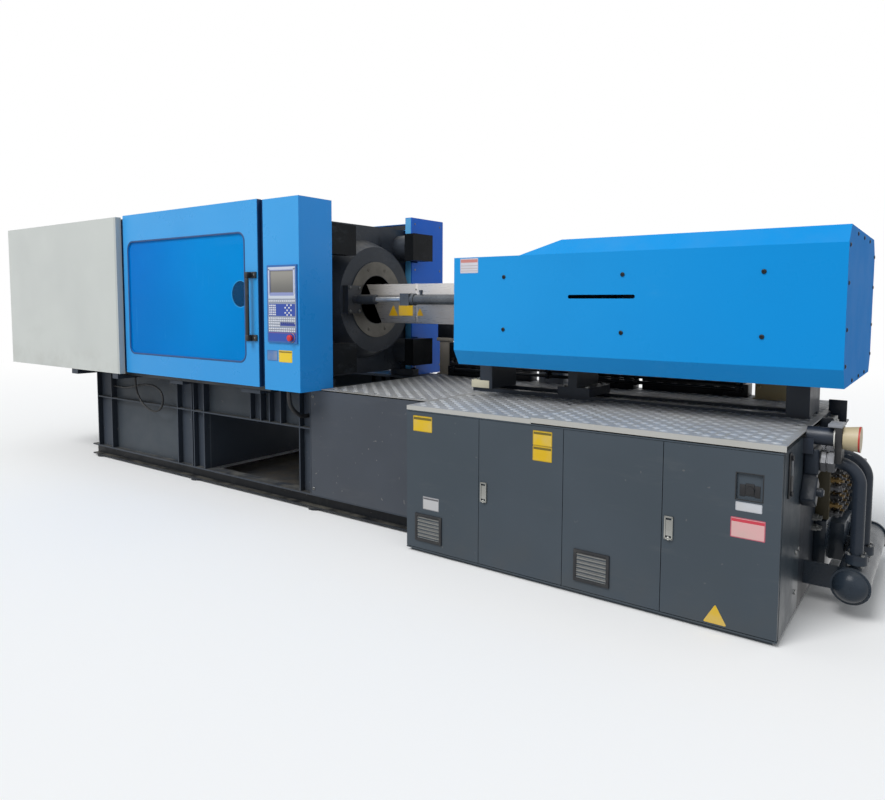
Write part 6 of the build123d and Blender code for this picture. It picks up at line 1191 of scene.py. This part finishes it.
valve.turn(coil, (0.0, 0.0, 0.024), "Y", 14).block((-0.014, -0.066, 0.038), (0.014, -0.036, 0.062), 0.003)
grown("service_valves", valve.mesh("valve"), places, coil_black)
pipes = Form()
for y, z, radius in ((0.500, 0.878, 0.012), (0.508, 0.912, 0.009)):
    pipes.turn(((0.0, 0.0), (0.0, radius), (2.150, radius), (2.150, 0.0)), (0.600, y, z), "X", 12)
    reach = radius + 0.006
    for x in (0.640, 1.450, 2.090, 2.720):
        pipes.block((x - 0.012, y - reach, z - reach), (x + 0.012, ROW_FRONT + 0.004, z + reach), 0.002)
pipes.piece("service_pipes", service_black_and_shade, "charcoal_casting")


# Boxes on the service row: a beige pressure switch box, a pale terminal box with two ribs, and a
# dark upright with a grey duct in the gap behind the column.
button = ((0.0, 0.0), (0.0, 0.011), (-0.010, 0.011), (-0.012, 0.008), (-0.012, 0.0))
box = Form().block((2.815, 0.500, STEP_TOP), (3.020, 0.600, 0.958), 0.006, 3)
box.block((2.805, 0.496, STEP_TOP), (3.030, 0.606, 0.838), 0.002).turn(button, (2.838, 0.500, 0.905), "Y", 16)
box.piece("pressure_box", enamel("beige_enamel", "bfae86", "ab9a74", 0.3, 0.25, 0.4), "filter_paint")
pale = enamel("pale_box_enamel", "9a9da3", "84878d", 0.3, 0.3, 0.4)
box = Form().block((1.350, 0.550, TREAD_TOP), (1.545, 0.650, 0.945), 0.006, 3)
for x in (1.395, 1.500):
    box.block((x - 0.006, 0.544, 0.830), (x + 0.006, 0.556, 0.940), 0.003)
box.piece("terminal_box", pale, "grey_panel_paint")
duct = Form().block((0.428, 0.600, TREAD_TOP), (0.520, 0.665, 1.090), 0.005)
duct.block((0.412, 0.590, TREAD_TOP), (0.536, 0.675, 0.832), 0.002)
duct.block((0.405, 0.592, 1.086), (0.545, 0.672, 1.112), 0.003)
duct_grey = enamel("duct_enamel", "a8a196", "8d867b", 1.0, 0.35, 0.5, "6e5c48")
duct.piece("service_duct", duct_grey, "grey_panel_paint")
box = Form().block((0.410, 0.598, 1.110), (0.560, 0.668, 1.265), 0.006, 3)
box.block((0.552, 0.560, TREAD_TOP), (0.700, 0.640, 1.080), 0.006, 3)
box.block((0.560, 0.553, 0.860), (0.692, 0.562, 1.060), 0.002)
box.piece("service_boxes", service_black_and_shade, "charcoal_casting")


# Cooler, pipes and filter on the injection end: cooler and steel pipes in dark grey-blue enamel,
# and a filter with a dark neck, a white collar and a beige bowl with a red rim, told apart by X.
cooler_grey = enamel("cooler_grey", "323c47", "28313b", 0.3, 0.2, 0.22, "6b6a66")
dress(cooler_grey, "oil_cooler")
dress(enamel("pipe_enamel", "2f3742", "272e38", 0.3, 0.2, 0.24, "6b6a66"), "cooler_pipes")
part = Finish("filter_finish", "252d3a")
grain = part.noise(7, 4).step(0.3, 0.7)
part.lay(grain, "191f29")
part.lay(part.x.within(3.3505, 3.3590, 0.001), "d8d6cf")
part.lay(part.x.step(3.3855, 3.3865), part.mix(grain, "cdbf9f", "b9a987"))
part.lay(part.x.step(3.4440, 3.4450), "b8352c")
part.lay(part.x.step(3.4515, 3.4519), part.mix(grain, "c4b592", "8f8468"))
rough = part.noise(8, 4).step(0.3, 0.7, 0.34, 0.5)
dress(part.close(rough, Normal=part.bump(part.noise(120, 3), 0.0008, 0.4)), "filter_unit")
bolts = Form()
for x, y in ((3.452, -0.400), (3.462, -0.230)):
    for i in range(4):
        turned = math.radians(45 + 90 * i)
        foot = (x + 0.036 * math.cos(turned), y + 0.036 * math.sin(turned), 0.2465)
        for low, high, radius, sides in (
            (0.0, 0.048, 0.0062, 8),
            (0.0455, 0.0530, 0.0095, 6),
            (-0.0030, 0.0045, 0.0095, 6),
        ):
            bolts.turn(((low, 0.0), (low, radius), (high, radius), (high, 0.0)), foot, "Z", sides)
bolts.piece("flange_bolts", zinc, "machined_steel")


# End-plate fittings: a cast return block where the front pipe enters, with a solenoid valve set
# slantwise below it, worn hexagon unions on both pipes, and a bank of small brass and steel unions
# on the sheet manifold box behind the pipes. A slate housing stands beside that box.
end_cast = casting("end_casting", "262d37", "1b212a")
PIPE_FRONT_Y, PIPE_REAR_Y, PIPE_Z, PLATE_X = -0.400, -0.230, 0.690, 3.235
flange = ((0.0, 0.0), (0.0, 0.042), (0.020, 0.046), (0.034, 0.046), (0.034, 0.0))
block = Form().block((PLATE_X, -0.462, 0.628), (PLATE_X + 0.062, -0.338, 0.752), 0.014, 3)
block.turn(flange, (PLATE_X, PIPE_REAR_Y, PIPE_Z), "X", 24)
block.piece("return_block", end_cast, "charcoal_casting")
knob = ((0.0, 0.0), (0.0, 0.020), (0.020, 0.020), (0.028, 0.014), (0.028, 0.0))
valve = Form().block((PLATE_X, -0.450, 0.480), (PLATE_X + 0.064, -0.380, 0.600), 0.008, 3)
valve.block((PLATE_X, -0.440, 0.598), (PLATE_X + 0.054, -0.390, 0.640), 0.006)
valve.turn(knob, (PLATE_X + 0.062, -0.415, 0.540), "X", 14)
slant = Matrix.Rotation(math.radians(-38), 3, "X")
bmesh.ops.rotate(valve.made, cent=(PLATE_X, -0.415, 0.640), matrix=slant, verts=valve.made.verts)
valve.piece("slant_valve", end_cast, "charcoal_casting")
worn_steel = metal("worn_union_steel", "75767a", "434447", 0.5, grime=0.8, metallic=0.5)
nut = ((0.0, 0.0280), (0.0, 0.0470), (0.005, 0.0510), (0.024, 0.0510), (0.026, 0.0440))
nut += ((0.030, 0.0440), (0.032, 0.0510), (0.056, 0.0510), (0.061, 0.0460), (0.061, 0.0280))
unions = Form().turn(nut, (PLATE_X + 0.062, PIPE_FRONT_Y, PIPE_Z), "X", 6, hollow=True)
unions.turn(nut, (PLATE_X + 0.034, PIPE_REAR_Y, PIPE_Z), "X", 6, hollow=True)
unions.piece("pipe_unions", worn_steel, "machined_steel")
# The box's +X face gets painted shade through the end colour.
olive = enamel("olive_enamel", "57513f", "474234", 0.5, 0.35, 0.45, end_shade_code="4d4838")
box = Form().block((PLATE_X, -0.060, 0.330), (PLATE_X + 0.060, 0.420, 0.640), 0.004)
box.piece("manifold_box", olive, "frame_paint")
housing = Form().block((PLATE_X, -0.080, 0.060), (PLATE_X + 0.055, 0.420, 0.326), 0.004)
housing.block((PLATE_X + 0.050, 0.060, 0.100), (PLATE_X + 0.120, 0.360, 0.290), 0.006)
housing.block((PLATE_X, 0.425, 0.060), (PLATE_X + 0.150, 0.670, 0.520), 0.005)
housing.block((PLATE_X + 0.148, 0.450, 0.085), (PLATE_X + 0.153, 0.645, 0.495), 0.002)
housing.piece("end_housing", cooler_grey, "cooler_paint")
union = ((0.0, 0.0), (0.0, 0.017), (0.013, 0.017), (0.014, 0.011), (0.026, 0.011), (0.027, 0.016))
union += ((0.040, 0.016), (0.042, 0.008), (0.056, 0.008), (0.056, 0.0))
union = Form().turn(union, (0.0, 0.0, 0.0), "Z", 6).mesh("union")
banks = [[], [], []]
for i in range(10):
    for j in range(7):
        uneven = math.sin(12.9 * (i + 1) * (j + 2))
        y, z = -0.020 + 0.044 * i, 0.350 + 0.042 * j + 0.006 * uneven
        banks[(i * 7 + j * 5 + int(uneven > 0)) % 3].append((PLATE_X + 0.060 - 0.004 * abs(uneven), y, z))
brass = metal("brass_fittings", "93794b", "54452a", 0.4, grime=0.6, metallic=0.7)
for name, finish, places in zip(("brass", "steel", "black"), (brass, worn_steel, coil_black), banks):
    grown(name + "_unions", union, places, finish, facing=RIGHT)
fittings = Form()
plug = ((0.0, 0.0), (0.0, 0.014), (0.022, 0.014), (0.024, 0.009), (0.040, 0.009), (0.040, 0.0))
for place in grid((PLATE_X,), (-0.130, -0.100), (0.300, 0.350)):
    fittings.turn(plug, place, "X", 6)
for x, radius, height, places in (
    (PLATE_X, 0.011, 0.006, ((-0.560, 0.300), (-0.500, 0.300), (-0.560, 0.120), (-0.300, 0.460))),
    (PLATE_X + 0.055, 0.009, 0.005, ((-0.050, 0.300), (0.395, 0.300), (-0.050, 0.090), (0.395, 0.090))),
):
    for y, z in places:
        fittings.turn(((0.0, 0.0), (0.0, radius), (height, radius), (height, 0.0)), (x, y, z), "X", 6)
fittings.piece("end_fittings", zinc, "machined_steel")


# Filter's holder and end bracket: a black block and a grey cover slab behind the filter's bowl, and
# a dark angle bracket on the end plate with two bright plugs.
block = Form().block((3.3592, -0.4820, 0.6980), (3.3850, -0.3780, 0.8580), 0.003)
block.piece("filter_block", coil_black, "cable_black")
slab = Form().block((3.3300, -0.4860, 0.8560), (3.3856, -0.3740, 0.8700), 0.002)
slab.piece("filter_slab", pale, "grey_panel_paint")
bracket = Form()
for out, near, far, high in (
    (0.012, -0.0200, 0.4000, 0.8280),
    (0.060, -0.0200, -0.0080, 0.8280),
    (0.085, 0.2500, 0.2620, 0.8900),
    (0.080, 0.0000, 0.4000, 0.7740),
):
    bracket.block((PLATE_X, near, 0.7620), (PLATE_X + out, far, high), 0.002)
bracket.piece("end_bracket", end_cast, "charcoal_casting")
plugs = Form()
plug = ((0.0, 0.0), (0.0, 0.024), (0.030, 0.024), (0.034, 0.018), (0.050, 0.018), (0.050, 0.0))
for y in (0.060, 0.140):
    plugs.turn(plug, (PLATE_X + 0.040, y, 0.7740), "Z", 12)
plugs.piece("bracket_plugs", zinc, "machined_steel")
